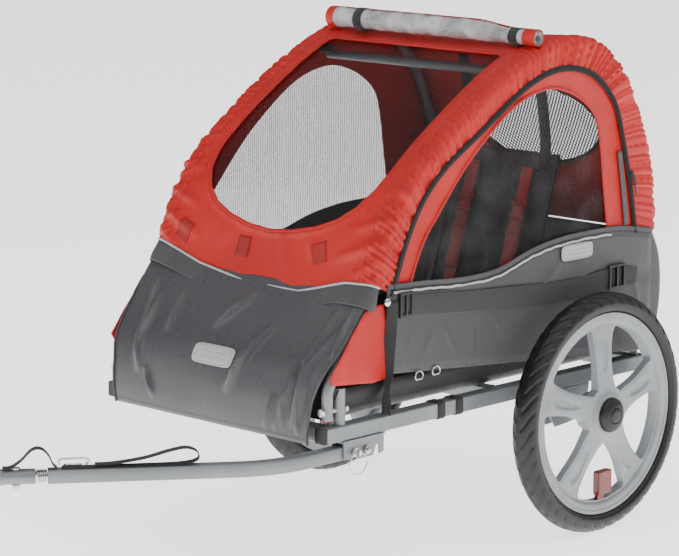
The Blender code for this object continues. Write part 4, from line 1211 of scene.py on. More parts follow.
def build_patches():
    """Sewn reinforcement squares on the lower front."""
    low = front_station(0.500)
    for k, (run, across, turn) in enumerate(((low + 0.006, -0.190, 0.35), (low - 0.004, -0.050, 0.0),
                                             (low + 0.006, 0.120, -0.35))):
        half = 0.0175
        c, s = math.cos(turn), math.sin(turn)
        corners = [(-half, -half * 0.85), (half, -half * 0.85), (half, half * 0.85), (-half, half * 0.85)]
        outline = np.array([(run + x * c - y * s, across + x * s + y * c) for x, y in corners])
        flat, faces = cut_pattern(outline, (), 0.004)
        lift = ruching(flat) + front_folds(flat) + sag(flat[:, 1]) + 0.0011
        patch = new_piece("cover_patch_%d" % (k + 1), on_cover(flat, lift), faces, red_patch(), flat)
        thicken(facing(patch, (1, 0, 0)), 0.0009)
        finish_slack(patch, "red_cloth")
        line = np.array([run, across]) + (outline - [run, across]) * 0.84
        line = resample(np.vstack([line, line[:1]]), 0.003)
        lift = ruching(line) + front_folds(line) + sag(line[:, 1]) + 0.0015
        finish_slack(stitches("patch_stitches_%d" % (k + 1), [on_cover(line, lift)], thread("red")), "red_cloth")


def side_plane(flat, side, lift=0.0):
    """Points written as (x from the axle, z) on the side of the cover."""
    y = side * (ARCH_Y + COVER_R + lift)
    return np.stack([flat[:, 0] + AXLE_X, np.broadcast_to(y, (len(flat),)), flat[:, 1]], axis=1)


def side_top(x):
    rows = np.array(SIDE_TOP)[::-1]
    return np.interp(x, rows[:, 0], rows[:, 1])


def window_loop():
    """The side window down to the side panel's top edge."""
    line = smooth_line(WINDOW_LINE, 8)
    base = np.linspace(line[-1, 0], line[0, 0], 40)[1:-1]
    return np.vstack([line, np.stack([base, side_top(base) - 0.014], axis=1)])


def build_side_openings(cloth_set):
    zipper = smooth_line([p for p in ZIPPER_LINE], 8)
    zipper = zipper[zipper[:, 1] > 0.4450]
    window = smooth_line(WINDOW_LINE, 8)
    loop = window_loop()
    frame_band = np.vstack([zipper, window[::-1]])
    for side, name in ((1, "left"), (-1, "right")):
        flat, faces = cut_pattern(frame_band, (), cloth_set.pitch * 0.8)
        lift = -0.0012 + rumple(flat, 0.10, 0.0016, 11 + side) * rise(distance_to(flat, zipper), 0, 0.01)
        surround = new_piece("window_surround_" + name, side_plane(flat, side, lift), faces, red_cloth(), flat)
        hang(surround, flat, cloth_set.thickness, (0, side, 0))
        finish_side(surround, side, "red_cloth")
        flat, faces = cut_pattern(loop, (), 0.008)
        lift = -0.0030 + rumple(flat, 0.16, 0.0022, 31 + side) * rise(distance_to(flat, loop, True), 0, 0.03)
        pane = new_piece("side_window_" + name, side_plane(flat, side, lift), faces,
                         clear_vinyl() if side > 0 else window_net(), flat)
        hang(pane, flat, 0.0007, (0, side, 0))
        finish_side(pane, side, "vinyl" if side > 0 else "mesh", "window_" + name)
        rim = side_plane(window, side, -0.0008)
        edge = sweep("window_binding_" + name, resample(rim, 0.006), ribbon(0.0052, 0.0030, 0.45),
                     red_cloth(), (0, side, 0))
        finish_side(edge, side, "red_cloth")
        tape = side_plane(resample(zipper, 0.006), side, 0.0021)
        tape_piece = sweep("zipper_tape_" + name, tape, ribbon(0.0105, 0.0012), black_tape(), (0, side, 0))
        coil = run_tree(lines_object("zipper_teeth_" + name, [side_plane(zipper, side, 0.0031)]),
                        tree_of(teeth_tree), {"Pitch": 0.0026, "Size": (0.0046, 0.0018, 0.0013),
                                              "Material": black_plastic()})
        finish_side(tape_piece, side, "black_cloth")
        finish_side(coil, side, "black_plastic")
        line = resample(zipper, 0.006)
        out = np.gradient(line, axis=0)
        out /= np.linalg.norm(out, axis=1)[:, None]
        out = np.stack([-out[:, 1], out[:, 0]], axis=1)
        rows = [side_plane(line + out * d, side, 0.0028) for d in (-0.0044, 0.0044)]
        rows.append(side_plane(resample(window, 0.006), side, 0.0015))
        finish_side(stitches("side_stitches_" + name, rows, thread("black")), side, "black_cloth")


def window_net():
    return net("Window Net", (0.20, 0.20, 0.22), 0.0046, 1.0, 0.22, 0.0)


def screen_net():
    return net("Front Screen Net", (0.010, 0.010, 0.012), 0.0021, 0.0021, 0.26, 0.0)


def diamond_net():
    return net("Diamond Net", (0.010, 0.010, 0.011), 0.0066, 0.0066, 0.62, 0.62)


def build_screens():
    """The net across the front opening and the coarse net of the rear window, with their bindings."""
    opening, back = opening_outline(-0.0015), rear_opening(-0.0015)
    flat, faces = cut_pattern(opening_outline(0.004), (), 0.010)
    screen = new_piece("front_net", on_cover(flat, -0.0075), faces, screen_net(), flat[:, ::-1])
    hang(screen, flat, 0.0006, (1, 0, 0))
    finish_slack(screen, "mesh", "front_screen")
    flat, faces = cut_pattern(rear_opening(0.004), (), 0.009)
    rear = new_piece("rear_net", on_cover(flat, -0.0060), faces, diamond_net(), flat[:, ::-1])
    hang(rear, flat, 0.0008, (-1, 0, 0))
    finish_slack(rear, "mesh", "rear_window")
    for name, loop, tone in (("front_opening_binding", opening, red_cloth()), ("rear_opening_binding", back, black_tape())):
        line = resample(loop, 0.006, True)
        path = on_cover(line, -0.0012)
        out = on_cover(line, 0.02) - on_cover(line, -0.02)
        piece = sweep(name, path, ribbon(0.0060, 0.0034, 0.45), tone, out, closed=True)
        finish_slack(piece, "red_cloth" if "front" in name else "black_cloth")
        rows = [on_cover(np.vstack([line, line[:1]]), 0.0010)]
        finish_slack(stitches(name.replace("binding", "stitches"), rows, thread("red" if "front" in name else "black")),
                     "red_cloth")


# ---------------------------------------------------------------------------------------------
# Grey panels
# ---------------------------------------------------------------------------------------------

FRONT = smooth_line(FRONT_LINE, 12)
FRONT_RUN = run_of(FRONT)


def on_front(points, lift):
    """Points written as (way down from the hem, across) on the front panel."""
    down = points[:, 0]
    centre = np.stack([np.interp(down, FRONT_RUN, FRONT[:, k]) for k in (0, 1)], axis=1)
    way = np.gradient(FRONT, axis=0)
    way /= np.linalg.norm(way, axis=1)[:, None]
    out = np.stack([-way[:, 1], way[:, 0]], axis=1)
    out = np.stack([np.interp(down, FRONT_RUN, out[:, k]) for k in (0, 1)], axis=1)
    xz = centre + out * np.asarray(lift)[:, None]
    return np.stack([xz[:, 0] + AXLE_X, points[:, 1], xz[:, 1]], axis=1)


def front_panel_folds(flat):
    long = FRONT_RUN[-1]
    rows = [
        ((0.030, -0.215), (0.205, -0.165), 0.0060, 0.0060), ((0.060, -0.190), (0.150, -0.176), 0.0050, 0.0040),
        ((0.045, -0.140), (0.130, -0.132), 0.0080, 0.0045), ((0.190, -0.150), (0.240, -0.128), 0.0045, 0.0045),
        ((0.030, 0.020), (0.110, -0.040), 0.0090, 0.0040), ((0.080, 0.090), (0.205, 0.040), 0.0070, 0.0058),
        ((0.120, 0.075), (0.190, 0.052), 0.0040, 0.0030), ((0.030, 0.205), (0.150, 0.196), 0.0075, 0.0050),
        ((0.060, 0.225), (0.240, 0.188), 0.0060, 0.0068), ((0.110, 0.190), (0.245, 0.165), 0.0050, 0.0056),
        ((0.150, 0.212), (0.250, 0.200), 0.0038, 0.0050), ((0.175, 0.178), (0.250, 0.150), 0.0036, 0.0044),
        ((0.190, 0.150), (0.250, 0.128), 0.0040, 0.0036), ((0.020, 0.232), (0.120, 0.236), 0.0050, 0.0045),
    ]
    belly = 0.0055 * np.cos(np.clip(flat[:, 1] / 0.25, -1, 1) * math.pi / 2) * np.sin(
        np.clip(flat[:, 0] / long, 0, 1) * math.pi)
    return 2.0 * creases(flat, rows) + belly + rumple(flat, 0.14, 0.0022, 44)


def build_front_panel(cloth_set):
    long = FRONT_RUN[-1]
    edge = [(0.0, 0.2500), (0.060, 0.2500), (0.110, 0.2480), (0.150, 0.2400), (0.190, 0.2300), (0.230, 0.2260),
            (long - 0.004, 0.2230)]
    right = np.array(edge)
    outline = np.vstack([right, np.stack([right[::-1, 0], -right[::-1, 1]], axis=1)])
    flat, faces = cut_pattern(outline, (), cloth_set.pitch * 0.8)
    inside_edge = rise(distance_to(flat, outline, True), 0.0, 0.02)
    lift = front_panel_folds(flat) * (0.35 + 0.65 * inside_edge) - 0.0010
    panel = new_piece("front_cloth", on_front(flat, lift), faces, grey_satin(), flat)
    hang(panel, flat, 0.0014, (1, 0, 0))
    finish_slack(panel, "grey_cloth", "front_panel", keep=0.30)
    for side, name in ((1, "left"), (-1, "right")):
        line = resample(right[1:] * [1, side] - [0, side * 0.0015], 0.005)
        lift = front_panel_folds(line) * 0.35 + 0.0002
        edging = sweep("front_edging_" + name, on_front(line, lift), circle(0.0018, 8), grey_tape())
        finish_slack(edging, "grey_cloth", keep=0.30)
    across = np.linspace(-0.216, 0.216, 90)
    line = np.stack([np.full(90, long - 0.012), across], axis=1)
    rows = [on_front(line, front_panel_folds(line) * 0.6 + 0.0003)]
    finish_slack(stitches("front_stitches", rows, thread("grey")), "grey_cloth", keep=0.30)
    build_badge("front_badge", lambda flat: on_front(flat + [0.152, 0.0], front_panel_folds(flat + [0.152, 0.0])
                                                     + 0.0004), (1, 0, 0), 0.016, 0.046)


def build_badge(name, place, outward, half_height, half_width):
    """A plain sewn-on patch with a bar across it."""
    turn = np.linspace(0, 2 * math.pi, 64, endpoint=False)
    c, s = np.cos(turn), np.sin(turn)
    outline = np.stack([half_height * np.sign(s) * np.abs(s) ** 0.35, half_width * np.sign(c) * np.abs(c) ** 0.35], axis=1)
    flat, faces = cut_pattern(outline, (), 0.003)
    patch = new_piece(name, place(flat), faces, pale_patch(), flat)
    thicken(facing(patch, outward), 0.0009, 1.0)
    line = np.vstack([outline, outline[:1]]) * 0.86
    bar = [np.stack([np.full(12, h), np.linspace(-half_width * 0.55, half_width * 0.55, 12)], axis=1)
           for h in (-half_height * 0.25, half_height * 0.25)]
    lift = np.array(outward) * 0.0010
    rows = [place(resample(r, 0.002)) + lift for r in [line] + bar]
    border = stitches(name + "_stitches", rows, thread("grey"), 0.0030, 0.0023, 0.0008)
    finish_slack(patch, "grey_cloth", keep=0.30)
    finish_slack(border, "grey_cloth", keep=0.30)


def build_side_panels(cloth_set):
    """The grey lower sides, their bound top edges and the bright piping below them."""
    top = np.array([p for p in SIDE_TOP], float)
    low = np.array([(-0.2050, 0.2730), (0.1000, 0.2990), (0.4560, 0.3310)])
    outline = np.vstack([smooth_line(top, 8), smooth_line(low, 8)])
    for side, name in ((1, "left"), (-1, "right")):
        flat, faces = cut_pattern(outline, (), cloth_set.pitch * 0.9)
        rows = [
            ((0.250, 0.325), (0.246, 0.398), 0.0025, -0.0022), ((0.385, 0.330), (0.345, 0.402), 0.0040, 0.0030),
            ((0.330, 0.395), (0.300, 0.340), 0.0050, 0.0022), ((0.180, 0.330), (0.205, 0.392), 0.0060, 0.0026),
            ((0.110, 0.410), (0.030, 0.460), 0.0070, 0.0034), ((0.060, 0.400), (-0.060, 0.440), 0.0060, 0.0026),
            ((0.420, 0.345), (0.400, 0.400), 0.0045, 0.0026), ((0.350, 0.448), (0.200, 0.446), 0.0040, 0.0024),
            ((-0.100, 0.320), (-0.060, 0.400), 0.0070, 0.0030), ((-0.170, 0.330), (-0.150, 0.430), 0.0060, 0.0030),
        ]
        edge = rise(distance_to(flat, outline, True), 0.0, 0.014)
        strap = np.exp(-((flat[:, 1] - strap_height(flat[:, 0])) / 0.012) ** 2)
        lift = 0.0012 + (creases(flat, rows) + rumple(flat, 0.10, 0.0022, 52 + side) + 0.0028 * (1 - strap)) * edge
        panel = new_piece("side_cloth_" + name, side_plane(flat, side, lift), faces, grey_cloth(), flat)
        hang(panel, flat, 0.0014, (0, side, 0))
        finish_side(panel, side, "grey_cloth", "side_panel_" + name)
        line = resample(smooth_line(top, 8), 0.006)
        binding = sweep("top_binding_" + name, side_plane(line, side, 0.0016), ribbon(0.0085, 0.0034, 0.45),
                        grey_tape(), (0, side, 0))
        finish_side(binding, side, "grey_cloth")
        bright = line[(line[:, 0] < 0.4450) & (line[:, 0] > -0.0930)] - [0, 0.0088]
        waver = 0.0008 * ripple(bright[:, 0], 0.035, 66)
        piping = sweep("side_piping_" + name, side_plane(bright + np.stack([0 * waver, waver], axis=1), side, 0.0046),
                       ribbon(0.0040, 0.0016, 0.45), bright_piping(), (0, side, 0))
        finish_side(piping, side, "grey_cloth")
        rows = [side_plane(line - [0, 0.0052], side, 0.0042), side_plane(line - [0, 0.0128], side, 0.0046)]
        seam = resample(np.array([(0.250, 0.322), (0.246, 0.398)]), 0.006)
        rows.append(side_plane(seam, side, 0.0022))
        finish_side(stitches("side_panel_stitches_" + name, rows, thread("black")), side, "grey_cloth")
    build_badge("side_badge", lambda flat: side_plane(flat[:, ::-1] * [-1, 1] + [0.0, 0.4700], 1, np.full(len(flat), 0.0062)),
                (0, 1, 0), 0.0135, 0.0400)


def strap_height(x):
    return np.interp(x, [-0.20, -0.104, 0.002, 0.234, 0.434, 0.46], [0.405, 0.414, 0.408, 0.421, 0.438, 0.440])


def build_rear_panel(cloth_set):
    rear = smooth_line(REAR_LINE, 10)
    run = run_of(rear)
    wide, round_r, flat_half = 0.3000, 0.0160, 0.2352
    outline = np.array([(0, -wide), (run[-1], -wide), (run[-1], wide), (0, wide)])
    flat, faces = cut_pattern(outline, (), cloth_set.pitch)
    way = np.gradient(rear, axis=0)
    way /= np.linalg.norm(way, axis=1)[:, None]
    out = np.stack([way[:, 1], -way[:, 0]], axis=1)

    def place(points, lift):
        """The back, then a turn round each corner and on under the side panel."""
        centre = np.stack([np.interp(points[:, 0], run, rear[:, k]) for k in (0, 1)], axis=1)
        away = np.stack([np.interp(points[:, 0], run, out[:, k]) for k in (0, 1)], axis=1)
        far, side = np.abs(points[:, 1]), np.sign(points[:, 1])
        turn = np.clip((far - flat_half) / round_r, 0, math.pi / 2)
        share = np.clip((far - flat_half - round_r * math.pi / 2) / (wide - flat_half - round_r * math.pi / 2), 0, 1)
        forward = round_r * (1 - np.cos(turn)) + share * (-0.1990 - centre[:, 0] - round_r)
        y = side * (np.minimum(far, flat_half) + (round_r + lift * 0.3) * np.sin(turn))
        xz = centre + away * (lift * np.cos(turn))[:, None]
        return np.stack([xz[:, 0] + forward + AXLE_X, y, xz[:, 1]], axis=1)

    rows = [((0.02, 0.18), (0.15, 0.10), 0.010, 0.005), ((0.02, -0.18), (0.15, -0.10), 0.010, 0.005),
            ((0.05, 0.02), (0.16, 0.00), 0.012, 0.004), ((0.03, 0.235), (0.19, 0.225), 0.007, 0.005),
            ((0.03, -0.235), (0.19, -0.225), 0.007, 0.005)]
    edge = rise(distance_to(flat, outline, True), 0, 0.02)
    lift = (creases(flat, rows) + rumple(flat, 0.12, 0.0030, 71)) * edge - 0.0012
    if place(np.array([[0.08, 0.0]]), np.array([0.01]))[0, 0] > place(np.array([[0.08, 0.0]]), np.array([0.0]))[0, 0]:
        out *= -1
    panel = new_piece("rear_cloth", place(flat, lift), faces, grey_cloth(), flat)
    hang(panel, flat, 0.0014, (-1, 0, 0))
    finish_slack(panel, "grey_cloth", "rear_panel", keep=0.30)
    across = np.linspace(-0.246, 0.246, 90)
    rows = [place(np.stack([np.full(90, s), across], axis=1), np.full(90, 0.0012)) for s in (0.008, run[-1] - 0.010)]
    finish_slack(stitches("rear_stitches", rows, thread("grey")), "grey_cloth", keep=0.30)


# ---------------------------------------------------------------------------------------------
# Inside: floor tub, seat, harness
# ---------------------------------------------------------------------------------------------


def build_floor():
    """The black floor, turned up at both sides into the grey side panels."""
    xs = np.linspace(-0.186, 0.560, 96)
    ys = np.linspace(-0.246, 0.246, 72)
    grid = np.array([(x, y) for x in xs for y in ys])
    far = np.clip((np.abs(grid[:, 1]) - 0.213) / 0.033, 0, 1)
    z = FLOOR_TOP + 0.0010 + 0.052 * far ** 2.2 + rumple(grid, 0.13, 0.0008, 91) * (1 - far)
    verts = np.stack([grid[:, 0] + AXLE_X, grid[:, 1], z], axis=1)
    faces = [(i * 72 + j, (i + 1) * 72 + j, (i + 1) * 72 + j + 1, i * 72 + j + 1)
             for i in range(95) for j in range(71)]
    tub = new_piece("floor_cloth", verts, faces, floor_cloth(), grid)
    hang(tub, grid, 0.0012, (0, 0, 1))
    finish_slack(tub, "black_cloth", "floor_panel", keep=0.5)


SLING_LINE = [(-0.1250, 0.6050), (-0.1120, 0.5600), (-0.0800, 0.4600), (-0.0520, 0.3700), (-0.0300, 0.3260),
              (0.0100, 0.3150), (0.1000, 0.3160), (0.1600, 0.3150), (0.1720, 0.3000), (0.1745, 0.2740)]


def along(line, lift):
    """A profile (x, z) moved off itself by a distance for each point."""
    way = np.gradient(line, axis=0)
    way /= np.linalg.norm(way, axis=1)[:, None]
    return line + np.stack([-way[:, 1], way[:, 0]], axis=1) * np.asarray(lift)[..., None]


def build_sling():
    """The quilted seat sheet, its bound edges and the straps that hold it up."""
    line = resample(smooth_line(SLING_LINE, 10), 0.006)
    run = run_of(line)
    ys = np.linspace(-0.1145, 0.1145, 44)
    quilt = np.abs(np.sin(math.pi * run / 0.052)) ** 0.5
    verts, flat = [], []
    for k, r in enumerate(run):
        across = np.abs(np.sin(math.pi * ys / 0.0573)) ** 0.5
        edge = rise(0.1145 - np.abs(ys), 0, 0.012)
        puff = 0.0048 * quilt[k] * across * edge - 0.0006
        section = along(line, np.full(len(line), 1.0))[k] - line[k]
        for y, p in zip(ys, puff):
            verts.append((line[k][0] + AXLE_X - section[0] * -p, y, line[k][1] + section[1] * p))
            flat.append((r, y))
    size = len(ys)
    faces = [(i * size + j, (i + 1) * size + j, (i + 1) * size + j + 1, i * size + j + 1)
             for i in range(len(run) - 1) for j in range(size - 1)]
    seat = new_piece("seat_sheet", verts, faces, seat_cloth(), flat)
    hang(seat, flat, 0.0030, (1, 0, 1))
    finish_slack(seat, "grey_cloth", "seat_sling", keep=0.15)
    for side in (1, -1):
        edge = [(x + AXLE_X, side * 0.1140, z) for x, z in line]
        piece = sweep("seat_edging_" + ("left" if side > 0 else "right"), edge, circle(0.0026, 8), black_tape())
        finish_slack(piece, "black_cloth", keep=0.15)
        up = smooth_line([(-0.1120, 0.5760), (-0.1210, 0.6060), (-0.1200, 0.6400), (-0.1080, 0.7150), (-0.0960, 0.7660)], 8)
        strap = sweep("seat_strap_" + ("left" if side > 0 else "right"),
                      [(x + AXLE_X, side * 0.0850, z) for x, z in up], band(0.0240, 0.0018), black_web(), (0, 1, 0))
        finish_slack(strap, "black_cloth", keep=0.15)
    rows = [[(x + AXLE_X, y, z + 0.0012) for x, z in along(line, np.full(len(line), 0.0008))]
            for y in (-0.0573, 0.0, 0.0573)]
    finish_slack(stitches("seat_stitches", rows, thread("black")), "grey_cloth", keep=0.15)


def cloth_pad(name, low, high, material, pressure, frames):
    """A padded block blown up by a short cloth simulation."""
    shape = bmesh.new()
    bmesh.ops.create_cube(shape, size=1.0)
    low, high = Vector(low), Vector(high)
    for v in shape.verts:
        v.co = Vector(((low[k] + high[k]) / 2 + v.co[k] * (high[k] - low[k]) for k in range(3)))
    bmesh.ops.bevel(shape, geom=shape.edges[:], offset=0.006, segments=3, profile=0.6, affect="EDGES")
    mesh = bpy.data.meshes.new(name)
    shape.to_mesh(mesh)
    shape.free()
    mesh.materials.append(material)
    obj = bpy.data.objects.new(name, mesh)
    bpy.context.scene.collection.objects.link(obj)
    remesh = obj.modifiers.new("Remesh", "REMESH")
    remesh.mode = "VOXEL"
    remesh.voxel_size = 0.0050
    bake(obj)
    start = np.array([v.co for v in obj.data.vertices])
    pin = obj.vertex_groups.new(name="Pin")
    seam = [v.index for v in obj.data.vertices
            if abs(v.co.z - low.z) < 0.004 or min(v.co.y - low.y, high.y - v.co.y, v.co.x - low.x, high.x - v.co.x) < 0.0015]
    pin.add(seam, 1.0, "REPLACE")
    sim = obj.modifiers.new("Cloth", "CLOTH")
    sim.settings.use_pressure = True
    sim.settings.uniform_pressure_force = pressure
    sim.settings.vertex_group_mass = "Pin"
    sim.settings.effector_weights.gravity = 0.0
    sim.settings.shrink_min = -0.05
    sim.point_cache.frame_start = 1
    sim.point_cache.frame_end = frames
    scene = bpy.context.scene
    for f in range(1, frames + 1):
        scene.frame_set(f)
    bake(obj)
    scene.frame_set(1)
    moved = np.array([v.co for v in obj.data.vertices]) - start
    far = np.linalg.norm(moved, axis=1)
    cap = 0.0070
    share = np.where(far > cap, cap / np.maximum(far, 1e-9), 1.0)
    start = start + moved * share[:, None]
    for v, co in zip(obj.data.vertices, start):
        v.co = co
    smooth = obj.modifiers.new("Smooth", "SUBSURF")
    smooth.levels = 1
    smooth.render_levels = 1
    bake(obj)
    obj.data.shade_smooth()
    return obj


def build_cushion():
    pad = cloth_pad("seat_pad", (AXLE_X - 0.016, -0.108, FLOOR_TOP + 0.0016), (AXLE_X + 0.156, 0.108, 0.3030),
                    seat_cloth(), 4.0, 20)
    finish_slack(pad, "grey_cloth", "seat_cushion", keep=0.5)


def build_harness():
    line = smooth_line([(-0.1030, 0.5800), (-0.0930, 0.5500), (-0.0630, 0.4580), (-0.0350, 0.3720),
                        (-0.0160, 0.3350)], 8)
    web, plastic = red_web(), black_plastic()
    parts = []
    for side in (1, -1):
        path = [(x + AXLE_X, side * 0.0620, z) for x, z in line]
        parts.append(sweep("harness_strap", path, band(0.0240, 0.0018), web, (0, 1, 0)))
        for share, tall in ((0.36, 0.0040), (0.42, 0.0040), (0.47, 0.0030)):
            x, z = line[int(len(line) * share)]
            parts.append(slab("harness_bar", (x + AXLE_X - 0.0018, side * 0.0620 - 0.0150, z - tall),
                              (x + AXLE_X + 0.0066, side * 0.0620 + 0.0150, z + tall), red_patch(), 0.0016))
        loose = [(x + AXLE_X + 0.0042 + 0.0030 * math.sin(k / 5), side * 0.0620, z - 0.0040)
                 for k, (x, z) in enumerate(line[len(line) // 3:2 * len(line) // 3])]
        parts.append(sweep("harness_tail", loose, band(0.0220, 0.0016), web, (0, 1, 0)))
    x, z = line[-3]
    parts.append(slab("harness_catch", (x + AXLE_X + 0.0010, -0.0190, z - 0.0150),
                      (x + AXLE_X + 0.0100, 0.0190, z + 0.0150), plastic, 0.0022))
    bridge = [(x + AXLE_X + 0.0050, y, z + 0.0006 * math.cos(y * 60)) for y in np.linspace(-0.0620, 0.0620, 20)]
    parts.append(sweep("harness_bridge", bridge, band(0.0200, 0.0016), web, (0.3, 0, 1)))
    finish_slack(join_pieces("harness_set", parts), "red_cloth", "harness", keep=0.15)


# ---------------------------------------------------------------------------------------------
# The rolled rain cover
# ---------------------------------------------------------------------------------------------


def roll_size(y):
    """The roll is squeezed thinner at its left end."""
    return 1.0 - 0.26 * float(rise(np.array([y]), 0.10, 0.20)[0])


def roll_height(y):
    return 0.8350 - 0.0185 * (1.0 - roll_size(y))


def build_roll():
    """A clear rain sheet rolled up on top of the cover, with red cloth ends and a tie strap."""
    centre = (AXLE_X + 0.0870, 0.8350)
    turns, outer = 3.2, 0.0178

    def spiral(grow, start, stop, count):
        t = np.linspace(start, stop, count)
        radius = outer - 0.0021 * (stop - t)
        return t, radius + grow

    ys = np.linspace(-0.2240, 0.2440, 130)
    t, radius = spiral(0.0, 0.0, turns, 150)
    verts, flat = [], []
    for y in ys:
        wave = 0.0007 * ripple(np.array([y]), 0.05, 17)[0]
        near = roll_size(y)
        for s, r in zip(t, radius):
            a = 2 * math.pi * s + 0.9
            verts.append((centre[0] + (r * near + wave) * math.cos(a), y, roll_height(y) + (r * near + wave) * math.sin(a)))
            flat.append((s * 0.09, y))
    size = len(t)
    faces = [(i * size + j, i * size + j + 1, (i + 1) * size + j + 1, (i + 1) * size + j)
             for i in range(len(ys) - 1) for j in range(size - 1)]
    roll = new_piece("rain_roll", verts, faces, rolled_vinyl(), flat)
    hang(roll, flat, 0.0006, (1, 0, 1))
    finish_slack(roll, "vinyl", "rain_cover_roll", keep=0.12)
    parts = []
    for a, b in ((-0.2250, -0.2080), (0.2180, 0.2450)):
        t, radius = spiral(0.0006, turns - 1.02, turns, 60)
        radius = radius * roll_size(a)
        path = [(centre[0] + r * math.cos(2 * math.pi * s + 0.9), (a + b) / 2, roll_height(a) + r * math.sin(2 * math.pi * s + 0.9))
                for s, r in zip(t, radius)]
        parts.append(sweep("roll_hem", path, band(abs(b - a), 0.0010), red_cloth(), (0, 1, 0)))
    angle = 2 * math.pi * turns + 0.9
    edge = [(centre[0] + (outer * roll_size(y) + 0.0008) * math.cos(angle), y,
             roll_height(y) + (outer * roll_size(y) + 0.0008) * math.sin(angle)) for y in np.linspace(-0.2240, 0.2440, 60)]
    parts.append(sweep("roll_edge", edge, ribbon(0.0090, 0.0016), red_cloth(),
                       (math.cos(angle), 0, math.sin(angle))))
    finish_slack(join_pieces("roll_trim", parts), "red_cloth")
    turn = np.linspace(0, 2 * math.pi, 48, endpoint=False)
    ties = []
    for y in (0.1980, -0.1500):
        r = 0.0189 * roll_size(y) + 0.0004
        path = [(centre[0] + r * math.cos(a), y, roll_height(y) + r * math.sin(a)) for a in turn]
        ties.append(sweep("roll_tie", path, band(0.0180, 0.0012), black_web(), (0, 1, 0), closed=True))
    finish_slack(join_pieces("roll_ties", ties), "black_cloth")


# ---------------------------------------------------------------------------------------------
# Webbing, buckles and small fittings on the cover
# ---------------------------------------------------------------------------------------------


def side_strap(name, points, width, material, side, thick=0.0014):
    """Webbing lying on the side: points are (x, z, distance outside the cloth's middle)."""
    dense = resample(smooth_line(points, 8), 0.004)
    path = np.stack([dense[:, 0] + AXLE_X, side * (ARCH_Y + COVER_R + dense[:, 2]), dense[:, 1]], axis=1)
    return sweep(name, path, band(width, thick), material, (0, 0, 1))


def ladder(name, x, z, y, side, length=0.030, height=0.030):
    """A three-bar buckle."""
    parts = []
    for dx in (-0.42, -0.02, 0.42):
        parts.append(slab(name, (x + dx * length - 0.0019, y, z - height / 2), (x + dx * length + 0.0019, y + side * 0.0044, z + height / 2),
                          black_plastic(), 0.0010) if side > 0 else
                     slab(name, (x + dx * length - 0.0019, y + side * 0.0044, z - height / 2), (x + dx * length + 0.0019, y, z + height / 2),
                          black_plastic(), 0.0010))
    for dz in (-0.44, 0.44):
        low, high = sorted((y, y + side * 0.0040))
        parts.append(slab(name, (x - length / 2, low, z + dz * height - 0.0022), (x + length / 2, high, z + dz * height + 0.0022),
                          black_plastic(), 0.0010))
    return parts


def build_webbing():
    web = black_web()
    for side, name in ((1, "left"), (-1, "right")):
        flap = side_strap("side_flap", [(0.420, 0.4380, 0.0040), (0.330, 0.4290, 0.0048), (0.234, 0.4210, 0.0042)], 0.0400,
                          grey_tape(), side)
        strap = side_strap("side_strap", [(0.434, 0.4390, 0.0066), (0.330, 0.4290, 0.0072), (0.234, 0.4205, 0.0068),
                                          (0.120, 0.4130, 0.0056), (0.002, 0.4080, 0.0056), (-0.085, 0.4130, 0.0060)],
                           0.0340, web, side)
        tail = side_strap("side_tail", [(-0.085, 0.4140, 0.0046), (-0.126, 0.4130, 0.0050), (-0.163, 0.4080, 0.0044)], 0.0300,
                          web, side)
        y = side * (ARCH_Y + COVER_R + 0.0060)
        buckles = ladder("buckle", AXLE_X + 0.4200, 0.4385, y, side, 0.0300, 0.0400)
        buckles += ladder("buckle", AXLE_X - 0.1040, 0.4140, y - side * 0.0006, side, 0.0440, 0.0420)
        straps = join_pieces("side_webbing_" + name, [flap, strap, tail])
        finish_side(straps, side, "black_cloth")
        finish_side(join_pieces("side_buckles_" + name, buckles), side, "black_plastic")
        upright = side_strap("corner_strap", [(0.4480, 0.4460, 0.0068), (0.4520, 0.4000, 0.0056), (0.4560, 0.3400, 0.0026),
                                              (0.4560, 0.2900, 0.0006), (0.4560, 0.2660, 0.0000)], 0.0200, web, side)
        finish_side(upright, side, "black_cloth")
        build_snap(side, name)
        build_flap(side, name)
        build_rings(side, name)


def build_snap(side, name):
    y = side * (ARCH_Y + COVER_R + 0.0080)
    dome = lathe("snap_" + name, [(0.0, 0.0042), (0.0030, 0.0040), (0.0056, 0.0028), (0.0068, 0.0010), (0.0070, 0.0),
                                  (0.0, -0.0004)], (AXLE_X + 0.4600, y - side * 0.0020, 0.4470), (0, side, 0), chrome(), 40)
    finish_side(dome, side, "chrome")


def build_flap(side, name):
    """The red gusset between the cover's front corner and the floor, and the red tab at the rear."""
    outline = np.array([(0.493, 0.444), (0.5110, 0.431), (0.549, 0.384), (0.583, 0.343), (0.576, 0.331), (0.545, 0.328),
                        (0.488, 0.322), (0.452, 0.326), (0.452, 0.380), (0.462, 0.444)])
    flat, faces = cut_pattern(outline, (), 0.005)
    lift = 0.0004 + rumple(flat, 0.05, 0.0014, 15)
    gusset = new_piece("corner_gusset_" + name, side_plane(flat, side, lift), faces, red_cloth(), flat)
    hang(gusset, flat, 0.0012, (0, side, 0))
    finish_side(gusset, side, "red_cloth")
    outline = np.array([(-0.1080, 0.626), (-0.1190, 0.626), (-0.1400, 0.500), (-0.1290, 0.498)])
    flat, faces = cut_pattern(outline, (), 0.004)
    flap = new_piece("rear_tab_" + name, side_plane(flat, side, 0.0030 + rumple(flat, 0.05, 0.001, 19)), faces,
                     grey_tape(), flat)
    thicken(facing(flap, (0, side, 0)), 0.0012)
    pull = side_strap("zipper_pull", [(-0.1420, 0.5900, 0.0048), (-0.1500, 0.5720, 0.0066), (-0.1560, 0.5480, 0.0052)],
                      0.0060, black_web(), side)
    finish_side(flap, side, "grey_cloth")
    finish_side(pull, side, "black_cloth")


